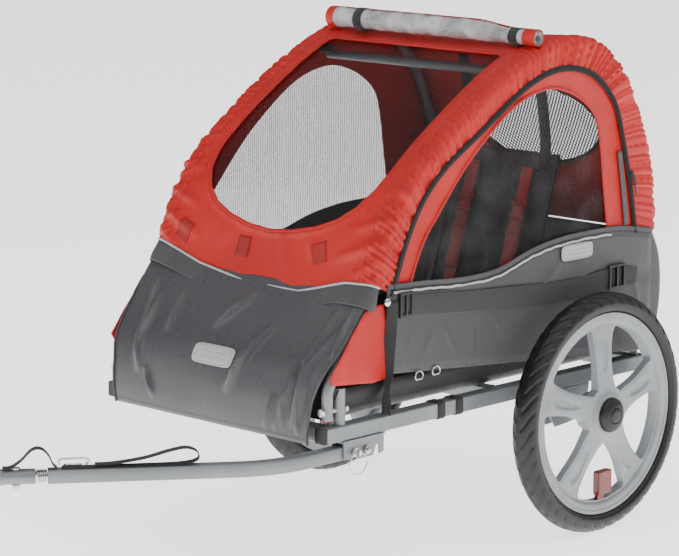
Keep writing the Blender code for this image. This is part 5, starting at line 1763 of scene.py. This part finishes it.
def build_rings(side, name):
    rings = []
    for x, z in ((0.3850, 0.3180), (0.3450, 0.3200)):
        y = side * (ARCH_Y + COVER_R + 0.0044)
        turn = np.linspace(0, 2 * math.pi, 32, endpoint=False)
        path = np.stack([AXLE_X + x + 0.0090 * np.cos(turn), np.full(32, y),
                         z + 0.0075 * np.clip(np.sin(turn), -0.75, 1)], axis=1)
        rings.append(sweep("ring", path, circle(0.0013, 8), zinc(), (0, side, 0), closed=True))
    finish_side(join_pieces("side_rings_" + name, rings), side, "zinc")
    bands = []
    for x in (0.3270, 0.2840):
        turn = np.linspace(0, 2 * math.pi, 40, endpoint=False)
        half = (RAIL_TOP - RAIL_LOW) / 2 + 0.0015
        c, s = np.cos(turn), np.sin(turn)
        path = np.stack([np.full(40, AXLE_X + x), side * RAIL_MID + half * np.sign(c) * np.abs(c) ** 0.3,
                         (RAIL_TOP + RAIL_LOW) / 2 + half * np.sign(s) * np.abs(s) ** 0.3], axis=1)
        bands.append(sweep("rail_band", path, band(0.0160, 0.0014), black_web(), (1, 0, 0), closed=True))
    finish(join_pieces("rail_bands_" + name, bands), "frame", "black_cloth")


# ---------------------------------------------------------------------------------------------
# Wheels
# ---------------------------------------------------------------------------------------------

WINDOW_IN, WINDOW_OUT, RING_IN, SEAT_R, RIM_R, RIM_HALF = 0.0480, 0.1480, 0.1540, 0.1655, 0.1703, 0.0161


def spoke_half(r):
    t = (r - 0.0400) / 0.1100
    return 0.0195 + 0.0100 * np.clip(t - 0.45, 0, None) ** 1.6 / 0.55 ** 1.6 + 0.0030 * np.clip(0.35 - t, 0, None) / 0.35


def sector_outline():
    """One fifth of the wheel, about a spoke that points along +Z: (x, z) from the axle."""
    half = math.pi / 5

    def arc(r, a, b, n):
        t = np.linspace(a, b, n)
        return np.stack([r * np.sin(t), r * np.cos(t)], axis=1)

    r = np.linspace(WINDOW_IN + 0.004, WINDOW_OUT - 0.004, 24)
    edge_angle = np.arcsin(np.clip(spoke_half(r) / r, -1, 1))
    edge = np.stack([r * np.sin(edge_angle), r * np.cos(edge_angle)], axis=1)
    right = np.vstack([arc(0.0063, 0, half, 6), arc(WINDOW_IN, half, edge_angle[0] + 0.04, 5), edge,
                       arc(WINDOW_OUT, edge_angle[-1] + 0.03, half, 12), arc(0.1570, half, 0, 14)[:-1]])
    left = right[::-1].copy()
    left[:, 0] *= -1
    return np.vstack([right, [(0.0, 0.1570)], left[:-1]])


def face_height(flat):
    r = np.linalg.norm(flat, axis=1)
    front = np.interp(r, [0.0, 0.034, 0.038, 0.070, 0.120, 0.154], [0.0270, 0.0270, 0.0215, 0.0165, 0.0115, 0.0100])
    leaf = ((flat[:, 1] - 0.101) / 0.034) ** 2 + (flat[:, 0] / (0.0078 + 0.09 * (flat[:, 1] - 0.085))) ** 2
    front -= 0.0034 * rise(1 - leaf, 0.0, 0.45)
    front -= 0.0016 * rise(np.abs(flat[:, 0]) / np.maximum(spoke_half(r), 1e-4), 0.70, 1.0) * rise(r, 0.05, 0.06) * (
        1 - rise(r, 0.135, 0.146))
    back = np.interp(r, [0.0, 0.032, 0.036, 0.070, 0.120, 0.157], [-0.0230, -0.0230, 0.0040, 0.0020, -0.0030, -0.0040])
    return front, back


def build_wheels(wheel_set):
    outline = sector_outline()
    flat, faces = cut_pattern(outline, (), wheel_set.pitch)
    front, back = face_height(flat)
    count = len(flat)
    verts = [(x, f, z) for (x, z), f in zip(flat, front)] + [(x, b, z) for (x, z), b in zip(flat, back)]
    shell = [tuple(f) for f in faces] + [tuple(v + count for v in f[::-1]) for f in faces]
    used = {}
    for f in faces:
        for a, b in ((f[0], f[1]), (f[1], f[2]), (f[2], f[0])):
            used[(a, b)] = used.get((a, b), 0) + 1
    for (a, b) in list(used):
        if (b, a) in used:
            continue
        seam = [abs(abs(math.atan2(flat[k][0], flat[k][1])) - math.pi / 5) < 1e-4 for k in (a, b)]
        if not all(seam):
            shell.append((a, b, b + count, a + count))
    wheel_material, rubber = wheel_plastic(), tyre_rubber()
    for side, name in ((1, "left"), (-1, "right")):
        sector = new_piece("wheel_disc", verts, shell, wheel_material)
        disc = run_tree(sector, tree_of(round_tree), {"Count": wheel_set.spokes, "Material": wheel_material})
        ring = lathe("wheel_ring", [
            (RIM_R, RIM_HALF), (RIM_R + 0.0001, RIM_HALF - 0.0024), (SEAT_R, RIM_HALF - 0.0040),
            (SEAT_R, -RIM_HALF + 0.0040), (RIM_R + 0.0001, -RIM_HALF + 0.0024), (RIM_R, -RIM_HALF),
            (0.1660, -RIM_HALF), (0.1540, -RIM_HALF + 0.0012), (0.1505, -RIM_HALF + 0.0050),
            (0.1505, 0.0080), (0.1520, 0.0118), (0.1545, 0.0139), (0.1585, 0.0146), (0.1640, 0.0146), (0.1650, 0.0160),
            (0.1690, 0.0163), (RIM_R, RIM_HALF)], (0, 0, 0), (0, 1, 0), wheel_material, 160)
        wheel = join_pieces("wheel_" + name, [disc, ring])
        repair_normals(wheel)
        wheel.data.set_sharp_from_angle(angle=math.radians(32))
        matrix = Matrix.Translation((AXLE_X, side * WHEEL_Y, AXLE_Z))
        if side < 0:
            matrix = matrix @ Matrix.Rotation(math.pi, 4, "Z")
        turned(wheel, matrix)
        finish(wheel, name + "_wheel", "wheel_plastic", "wheel_rim_" + name)
        finish(build_tyre("tread_" + name, side, wheel_set, rubber), name + "_wheel", "tyre", "tyre_" + name)
        build_hub(side, name)


TYRE_PROFILE = [(0.1661, 0.0112), (0.1716, 0.0122), (0.1722, 0.0165), (0.1755, 0.0202), (0.1830, 0.0225),
                (0.1930, 0.0199), (0.1995, 0.0126), (0.2027, 0.0055), (0.2030, 0.0), (0.2027, -0.0055),
                (0.1995, -0.0126), (0.1930, -0.0199), (0.1830, -0.0225), (0.1755, -0.0202), (0.1722, -0.0165),
                (0.1716, -0.0122), (0.1661, -0.0112)]


def build_tyre(name, side, wheel_set, material):
    """A tyre whose tread is cut by curved grooves from each shoulder and a ring along the middle."""
    profile = resample(smooth_line(TYRE_PROFILE, 8), 0.0019)
    count = 14 * wheel_set.tread_blocks
    angle = np.linspace(0, 2 * math.pi, count, endpoint=False)
    a, r = np.meshgrid(angle, profile[:, 0])
    h = np.meshgrid(angle, profile[:, 1])[1]
    step = 2 * math.pi / wheel_set.tread_blocks
    far = np.abs(h)
    sweep_back = 1.15 * (far / 0.0210) ** 1.5
    phase = np.where(h > 0, 0.0, 0.5)
    wave = np.abs(((a / step + sweep_back + phase) % 1.0) - 0.5) * 2
    groove = rise(wave, 0.60, 0.84) * rise(far, 0.0035, 0.0060) * (1 - rise(far, 0.0208, 0.0224)) * rise(r, 0.1820, 0.1850)
    ring = (1 - rise(np.abs(far - 0.0024), 0.0004, 0.0012)) * (r > 0.19)
    wall = 0.0004 * np.sin((r - 0.174) * 2 * math.pi / 0.0028) * (r < 0.183) * (r > 0.1745)
    depth = 0.0021 * groove + 0.0012 * ring + wall
    away = np.stack([r - 0.1850, h], axis=-1)
    away /= np.maximum(np.linalg.norm(away, axis=-1), 1e-6)[..., None]
    r = r - away[..., 0] * depth
    h = h - away[..., 1] * depth
    x, y, z = AXLE_X + r * np.sin(a), side * (WHEEL_Y + h), AXLE_Z + r * np.cos(a)
    verts = np.stack([x, y, z], axis=-1).reshape(-1, 3)
    faces = []
    rows = len(profile)
    for i in range(rows):
        j = (i + 1) % rows
        for k in range(count):
            m = (k + 1) % count
            faces.append((i * count + k, i * count + m, j * count + m, j * count + k))
    return repair_normals(new_piece(name, verts, faces, material))


def build_hub(side, name):
    face, axis = 0.0273, (0, side, 0)
    centre = (AXLE_X, side * WHEEL_Y, AXLE_Z)
    cap = lathe("cap_" + name, [(0.0134, face), (0.0284, face), (0.0290, face + 0.0006), (0.0290, face + 0.0038),
                                (0.0280, face + 0.0062), (0.0262, face + 0.0083), (0.0234, face + 0.0103),
                                (0.0200, face + 0.0118), (0.0160, face + 0.0129), (0.0143, face + 0.0131),
                                (0.0136, face + 0.0126), (0.0134, face + 0.0118), (0.0134, face)],
                centre, axis, cap_rubber())
    finish(cap, name + "_wheel", "cap_rubber", "hub_cap_" + name)
    button = lathe("button_" + name, [(0.0, face + 0.0055), (0.0128, face + 0.0055), (0.0130, face + 0.0116),
                                      (0.0126, face + 0.0127), (0.0112, face + 0.0137), (0.0060, face + 0.0143),
                                      (0.0, face + 0.0145)], centre, axis, black_plastic())
    finish(button, name + "_button", "black_plastic", "hub_button_" + name)


# ---------------------------------------------------------------------------------------------
# Metalwork, tow arm and safety straps
# ---------------------------------------------------------------------------------------------

NODE_FINISH = {
    "silver_steel": ["rail_left", "rail_right", "axle_bracket_left", "axle_bracket_right", "cross_tube_front",
                     "cross_tube_middle", "cross_tube_rear", "tow_bracket", "spreader_bar",
                     "spreader_hinge_bracket", "spreader_saddle", "coupler"],
    "zinc": ["front_pivot_bolt_left", "front_pivot_bolt_right", "rear_pivot_bolt_left", "rear_pivot_bolt_right",
             "axle_left", "axle_right", "arm_pivot_bolt", "hitch_pin", "pin_ring", "spreader_pin", "coupler_bolt"],
    "black_plastic": ["plug_front_left", "plug_front_right", "plug_rear_left", "plug_rear_right"],
    "red_lens": ["reflector_left", "reflector_right"],
}


def paint_nodes():
    made = {"silver_steel": silver_steel(), "zinc": zinc(), "black_plastic": black_plastic(), "red_lens": red_lens()}
    for slot, nodes in NODE_FINISH.items():
        for node in nodes:
            for place in bpy.data.objects[node].material_slots:
                place.material = made[slot]


def build_side_tubes():
    line = resample(ARCH, 0.006)
    for side, name in ((1, "left"), (-1, "right")):
        path = np.stack([line[:, 0] + AXLE_X, np.full(len(line), side * ARCH_Y), line[:, 1]], axis=1)
        tube = sweep("arch_" + name, path, circle(ARCH_R, 24), silver_steel(), (0, 1, 0))
        tube.data.set_sharp_from_angle(angle=math.radians(50))
        finish(tube, name + "_side_frame", "silver_steel", "side_frame_" + name)


def build_welds():
    """Weld beads where the cross tubes meet the side rails."""
    beads = []
    turn = np.linspace(0, 2 * math.pi, 56, endpoint=False)
    c, s = np.cos(turn), np.sin(turn)
    half = (RAIL_TOP - RAIL_LOW) / 2
    for node in ("cross_tube_front", "cross_tube_middle", "cross_tube_rear"):
        x, z = middle(node).x, middle(node).z
        for side in (1, -1):
            path = np.stack([x + half * np.sign(c) * np.abs(c) ** 0.35, np.full(56, side * 0.2264),
                             z + half * np.sign(s) * np.abs(s) ** 0.35], axis=1)
            beads.append(sweep("weld", path, circle(0.0013, 6), silver_steel(), closed=True, up=(0, 1, 0),
                               ends=1 + 0.22 * np.sin(turn * 22)))
    finish(join_pieces("weld_beads", beads), "frame", "silver_steel")


ARM_BEND = np.array([0.6874, RAIL_MID, ARM_Z])
ARM_WAY = np.array([0.786, -0.618, 0.0]) / math.hypot(0.786, 0.618)
ARM_SIDE = (0.618 / math.hypot(0.786, 0.618), 0.786 / math.hypot(0.786, 0.618), 0.0)
ARM_AFTER, SPRING_LEN = 0.3460, 0.0180


def arm_points(rows):
    """Rows of (distance after the bend, height above the arm's middle)."""
    rows = np.asarray(rows, float)
    line = ARM_BEND + ARM_WAY * rows[:, :1] + np.array([0, 0, 1.0]) * rows[:, 1:]
    return line + np.array([AXLE_X, 0, 0])


def build_arm():
    reach, turn = 0.0620, math.atan2(0.618, 0.786)
    radius = reach / math.tan(turn / 2)
    centre = ARM_BEND - np.array([reach, radius, 0])
    path = [np.array([0.4940, RAIL_MID, ARM_Z])]
    for t in np.linspace(0, turn, 22):
        path.append(centre + np.array([radius * math.sin(t), radius * math.cos(t), 0]))
    path.append(ARM_BEND + ARM_WAY * (ARM_AFTER - 0.0006))
    path.append(ARM_BEND + ARM_WAY * ARM_AFTER)
    path = np.array(path) + [AXLE_X, 0, 0]
    arm = sweep("tow_tube", path, band(0.0220, 0.0220, 0.14), silver_steel(), (0, 0, 1))
    arm.data.set_sharp_from_angle(angle=math.radians(40))
    finish(arm, "tow_arm", "silver_steel", "tow_arm")
    t = np.linspace(0, 1, 180)
    a = 2 * math.pi * 4.5 * t
    base = arm_points(np.stack([ARM_AFTER + 0.0019 + (SPRING_LEN - 0.0038) * t, 0 * t], axis=1))
    helix = base + np.array(ARM_SIDE) * (0.0088 * np.cos(a))[:, None] + np.array([0, 0, 1.0]) * (0.0088 * np.sin(a))[:, None]
    spring = sweep("coil_spring", helix, circle(0.0016, 10), zinc())
    tuple(base[10])
    tuple(base[-10])
    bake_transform(spring)
    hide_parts("hitch_spring")


def build_safety_straps():
    arc = arm_points(resample(smooth_line([
        (0.4140, 0.0144), (0.4020, 0.0150), (0.3860, 0.0250), (0.3700, 0.0410), (0.3560, 0.0430), (0.3450, 0.0330),
        (0.3380, 0.0180), (0.3320, 0.0130)], 8), 0.0045))
    front = sweep("safety_web_front", arc, band(0.0178, 0.0014), black_web(), ARM_SIDE)
    loop = arm_points(resample(smooth_line([
        (0.2750, 0.0160), (0.2450, 0.0170), (0.2000, 0.0235), (0.1600, 0.0340), (0.1350, 0.0375), (0.1190, 0.0300),
        (0.1200, 0.0185), (0.1450, 0.0135), (0.2000, 0.0125), (0.3250, 0.0125)], 8), 0.0045))
    back = sweep("safety_web_loop", loop, band(0.0178, 0.0014), black_web(), ARM_SIDE)
    ring = arm_points(smooth_line([
        (0.3280, 0.0165), (0.3290, 0.0210), (0.3250, 0.0250), (0.3060, 0.0255), (0.2900, 0.0255), (0.2845, 0.0230),
        (0.2845, 0.0190), (0.2890, 0.0165)], 8))
    hook = sweep("snap_link", ring, circle(0.0019, 12), chrome())
    gate = sweep("snap_link_gate", arm_points([(0.2945, 0.0165), (0.3225, 0.0165)]), circle(0.0015, 12), chrome())
    finish(hook, "tow_arm", "chrome", "snap_hook")
    finish(gate, "snap_gate", "chrome", "snap_gate")
    finish(back, "tow_arm", "black_cloth", "safety_strap_loop")
    finish(front, "tow_arm", "black_cloth", "safety_strap_front")
    tuple(loop[0])
    float(run_of(loop)[-1])
    [tuple(p) for p in loop]
    tuple(arc[0])
    float(run_of(arc)[-1])
    [tuple(p) for p in arc]


# ---------------------------------------------------------------------------------------------
# The stage
# ---------------------------------------------------------------------------------------------


def build_stage(stage_set):
    def floor_finish(g, shader, uv, place):
        cloud = g.group(cloud_effect(), {"Vector": place, "Broad": 0.5, "Fine": 40.0})
        tone = tuple(stage_set.floor)
        g.put(shader.inputs["Base Color"], g.mix(cloud.outputs["Broad"], tuple(c * 0.985 for c in tone[:3]) + (1,), tone))
        shader.inputs["Roughness"].default_value = 0.75
        shader.inputs["Emission Color"].default_value = (1.0, 1.0, 1.0, 1.0)
        shader.inputs["Emission Strength"].default_value = stage_set.glow
        shader.inputs["Specular IOR Level"].default_value = 0.15
    size = stage_set.size
    floor = new_piece("floor", [(-size, -size, 0), (size, -size, 0), (size, size, 0), (-size, size, 0)], [(0, 1, 2, 3)],
                      finish_material("Studio Floor", floor_finish))
    world = bpy.data.worlds.new("Studio") if bpy.context.scene.world is None else bpy.context.scene.world
    bpy.context.scene.world = world
    world.use_nodes = True
    sky = world.node_tree.nodes["Background"]
    sky.inputs["Color"].default_value = (1.0, 1.0, 1.0, 1.0)
    sky.inputs["Strength"].default_value = stage_set.sky
    camera_at = Vector((3.4040, 3.3936, 1.3355))
    lights = [("Key", Vector((0.6, 2.6, 3.4)), 2.6, 1.0), ("Top", Vector((-0.2, -0.2, 3.6)), 3.4, 0.8),
              ("Side", Vector((3.0, -1.2, 2.2)), 2.4, 0.55), ("Rim", Vector((-3.0, 1.4, 2.6)), 2.4, 0.45)]
    for name, spot, width, share in lights:
        data = bpy.data.lights.new(name, "AREA")
        data.shape = "SQUARE"
        data.size = width
        data.energy = stage_set.power * share
        lamp = bpy.data.objects.new(name, data)
        lamp.location = spot
        lamp.rotation_euler = (spot - Vector((-0.1, 0, 0.35))).to_track_quat("Z", "Y").to_euler()
        bpy.context.scene.collection.objects.link(lamp)
    data = bpy.data.cameras.new("View")
    data.lens = 158.53
    data.sensor_width = 36.0
    data.clip_end = 200.0
    camera = bpy.data.objects.new("View", data)
    camera.location = camera_at
    camera.rotation_euler = Vector((0.70508, 0.68522, 0.18260)).to_track_quat("Z", "Y").to_euler()
    bpy.context.scene.collection.objects.link(camera)
    bpy.context.scene.camera = camera


# ---------------------------------------------------------------------------------------------
# Settings, operators and panel
# ---------------------------------------------------------------------------------------------


class TrailerClothSettings(bpy.types.PropertyGroup):
    """Sizes and colours of the cloth"""

    pitch: bpy.props.FloatProperty(name="Cloth Pitch", description="Distance between points of the cloth", default=0.0048,
                                   min=0.003, max=0.02, unit="LENGTH")
    thickness: bpy.props.FloatProperty(name="Cloth Thickness", description="Thickness of the cover cloth", default=0.0012,
                                       min=0.0004, max=0.003, unit="LENGTH")
    red: bpy.props.FloatVectorProperty(name="Cover Red", description="Colour of the cover", subtype="COLOR", size=3,
                                       min=0.0, max=1.0, default=(0.64, 0.007, 0.0035))
    grey: bpy.props.FloatVectorProperty(name="Panel Grey", description="Colour of the side and front panels",
                                        subtype="COLOR", size=3, min=0.0, max=1.0, default=(0.078, 0.076, 0.083))


class TrailerWheelSettings(bpy.types.PropertyGroup):
    """Sizes and counts of the wheels and metalwork"""

    pitch: bpy.props.FloatProperty(name="Wheel Pitch", description="Distance between points of the wheel face",
                                   default=0.0030, min=0.002, max=0.01, unit="LENGTH")
    spokes: bpy.props.IntProperty(name="Spokes", description="Spokes of one wheel", default=5, min=5, max=5)
    tread_blocks: bpy.props.IntProperty(name="Tread Grooves", description="Grooves on each shoulder of a tyre",
                                        default=44, min=12, max=90)
    steel: bpy.props.FloatVectorProperty(name="Frame Colour", description="Powder coat of the tubes", subtype="COLOR",
                                         size=3, min=0.0, max=1.0, default=(0.270, 0.285, 0.298))
    plastic: bpy.props.FloatVectorProperty(name="Wheel Colour", description="Moulded plastic of the wheels",
                                           subtype="COLOR", size=3, min=0.0, max=1.0, default=(0.330, 0.350, 0.365))


class TrailerStageSettings(bpy.types.PropertyGroup):
    """The floor and the lights"""

    size: bpy.props.FloatProperty(name="Floor Reach", description="Half the width of the floor", default=60.0,
                                  min=5.0, max=200.0, unit="LENGTH")
    floor: bpy.props.FloatVectorProperty(name="Floor Colour", description="Colour of the floor", subtype="COLOR", size=4,
                                         min=0.0, max=1.0, default=(0.93, 0.93, 0.935, 1.0))
    glow: bpy.props.FloatProperty(name="Floor Glow", description="Light given off by the floor", default=1.9, min=0.0,
                                  max=10.0)
    power: bpy.props.FloatProperty(name="Light Power", description="Power of the key light", default=50.0, min=0.0,
                                   max=2000.0, unit="POWER")
    sky: bpy.props.FloatProperty(name="Sky Strength", description="Brightness of the surroundings", default=0.16, min=0.0,
                                 max=5.0)


class TRAILER_OT_metalwork(bpy.types.Operator):
    """Finish the welded frame, the side tubes and the weld beads"""

    bl_idname = "trailer.metalwork"
    bl_label = "Metalwork"

    def execute(self, context):
        paint_nodes()
        build_side_tubes()
        build_welds()
        return {"FINISHED"}


class TRAILER_OT_wheels(bpy.types.Operator):
    """Build both wheels, tyres, hub caps and release buttons"""

    bl_idname = "trailer.wheels"
    bl_label = "Wheels"

    def execute(self, context):
        build_wheels(context.scene.trailer_wheels)
        return {"FINISHED"}


class TRAILER_OT_tow_arm(bpy.types.Operator):
    """Build the tow arm, its spring and the safety straps"""

    bl_idname = "trailer.tow_arm"
    bl_label = "Tow Arm"

    def execute(self, context):
        build_arm()
        build_safety_straps()
        return {"FINISHED"}


class TRAILER_OT_floor_tub(bpy.types.Operator):
    """Build the black floor"""

    bl_idname = "trailer.floor_tub"
    bl_label = "Floor"

    def execute(self, context):
        build_floor()
        return {"FINISHED"}


class TRAILER_OT_seat(bpy.types.Operator):
    """Build the seat sheet, its cushion and the harness"""

    bl_idname = "trailer.seat"
    bl_label = "Sling And Harness"

    def execute(self, context):
        build_sling()
        build_cushion()
        build_harness()
        return {"FINISHED"}


class TRAILER_OT_cover(bpy.types.Operator):
    """Build the red cover, its hem and patches"""

    bl_idname = "trailer.cover"
    bl_label = "Cover"

    def execute(self, context):
        build_cover_cloth(context.scene.trailer_cloth)
        return {"FINISHED"}


class TRAILER_OT_windows(bpy.types.Operator):
    """Build the side windows and zippers"""

    bl_idname = "trailer.windows"
    bl_label = "Side Openings"

    def execute(self, context):
        build_side_openings(context.scene.trailer_cloth)
        return {"FINISHED"}


class TRAILER_OT_screens(bpy.types.Operator):
    """Build the front screen and the rear window"""

    bl_idname = "trailer.screens"
    bl_label = "Net Screens"

    def execute(self, context):
        build_screens()
        return {"FINISHED"}


class TRAILER_OT_panels(bpy.types.Operator):
    """Build the front, side and rear panels"""

    bl_idname = "trailer.panels"
    bl_label = "Grey Panels"

    def execute(self, context):
        build_front_panel(context.scene.trailer_cloth)
        build_side_panels(context.scene.trailer_cloth)
        build_rear_panel(context.scene.trailer_cloth)
        return {"FINISHED"}


class TRAILER_OT_webbing(bpy.types.Operator):
    """Build the straps, buckles, gussets and rings"""

    bl_idname = "trailer.webbing"
    bl_label = "Webbing"

    def execute(self, context):
        build_webbing()
        return {"FINISHED"}


class TRAILER_OT_rain_roll(bpy.types.Operator):
    """Build the rolled rain sheet"""

    bl_idname = "trailer.rain_roll"
    bl_label = "Rain Roll"

    def execute(self, context):
        build_roll()
        return {"FINISHED"}


class TRAILER_OT_stage(bpy.types.Operator):
    """Build the floor, lights and camera"""

    bl_idname = "trailer.stage"
    bl_label = "Stage"

    def execute(self, context):
        build_stage(context.scene.trailer_stage)
        return {"FINISHED"}


OPERATORS = (
    TRAILER_OT_metalwork,
    TRAILER_OT_wheels,
    TRAILER_OT_tow_arm,
    TRAILER_OT_floor_tub,
    TRAILER_OT_seat,
    TRAILER_OT_cover,
    TRAILER_OT_windows,
    TRAILER_OT_screens,
    TRAILER_OT_panels,
    TRAILER_OT_webbing,
    TRAILER_OT_rain_roll,
    TRAILER_OT_stage,
)
SETTINGS = (
    ("trailer_cloth", TrailerClothSettings),
    ("trailer_wheels", TrailerWheelSettings),
    ("trailer_stage", TrailerStageSettings),
)


class TRAILER_PT_panel(bpy.types.Panel):
    """The trailer's settings and its build steps"""

    bl_label = "Child Bicycle Trailer"
    bl_space_type = "VIEW_3D"
    bl_region_type = "UI"
    bl_category = "Trailer"

    def draw(self, context):
        for name, group in SETTINGS:
            for key in group.__annotations__:
                self.layout.prop(getattr(context.scene, name), key)
        for operator in OPERATORS:
            self.layout.operator(operator.bl_idname)


def register():
    for name, group in SETTINGS:
        bpy.utils.register_class(group)
        setattr(bpy.types.Scene, name, bpy.props.PointerProperty(type=group))
    for operator in OPERATORS:
        bpy.utils.register_class(operator)
    bpy.utils.register_class(TRAILER_PT_panel)


def unregister():
    bpy.utils.unregister_class(TRAILER_PT_panel)
    for operator in reversed(OPERATORS):
        bpy.utils.unregister_class(operator)
    for name, group in reversed(SETTINGS):
        delattr(bpy.types.Scene, name)
        bpy.utils.unregister_class(group)


def main():
    register()
    for operator in OPERATORS:
        area, step = operator.bl_idname.split(".")
        getattr(getattr(bpy.ops, area), step)()


if __name__ == "__main__":
    main()
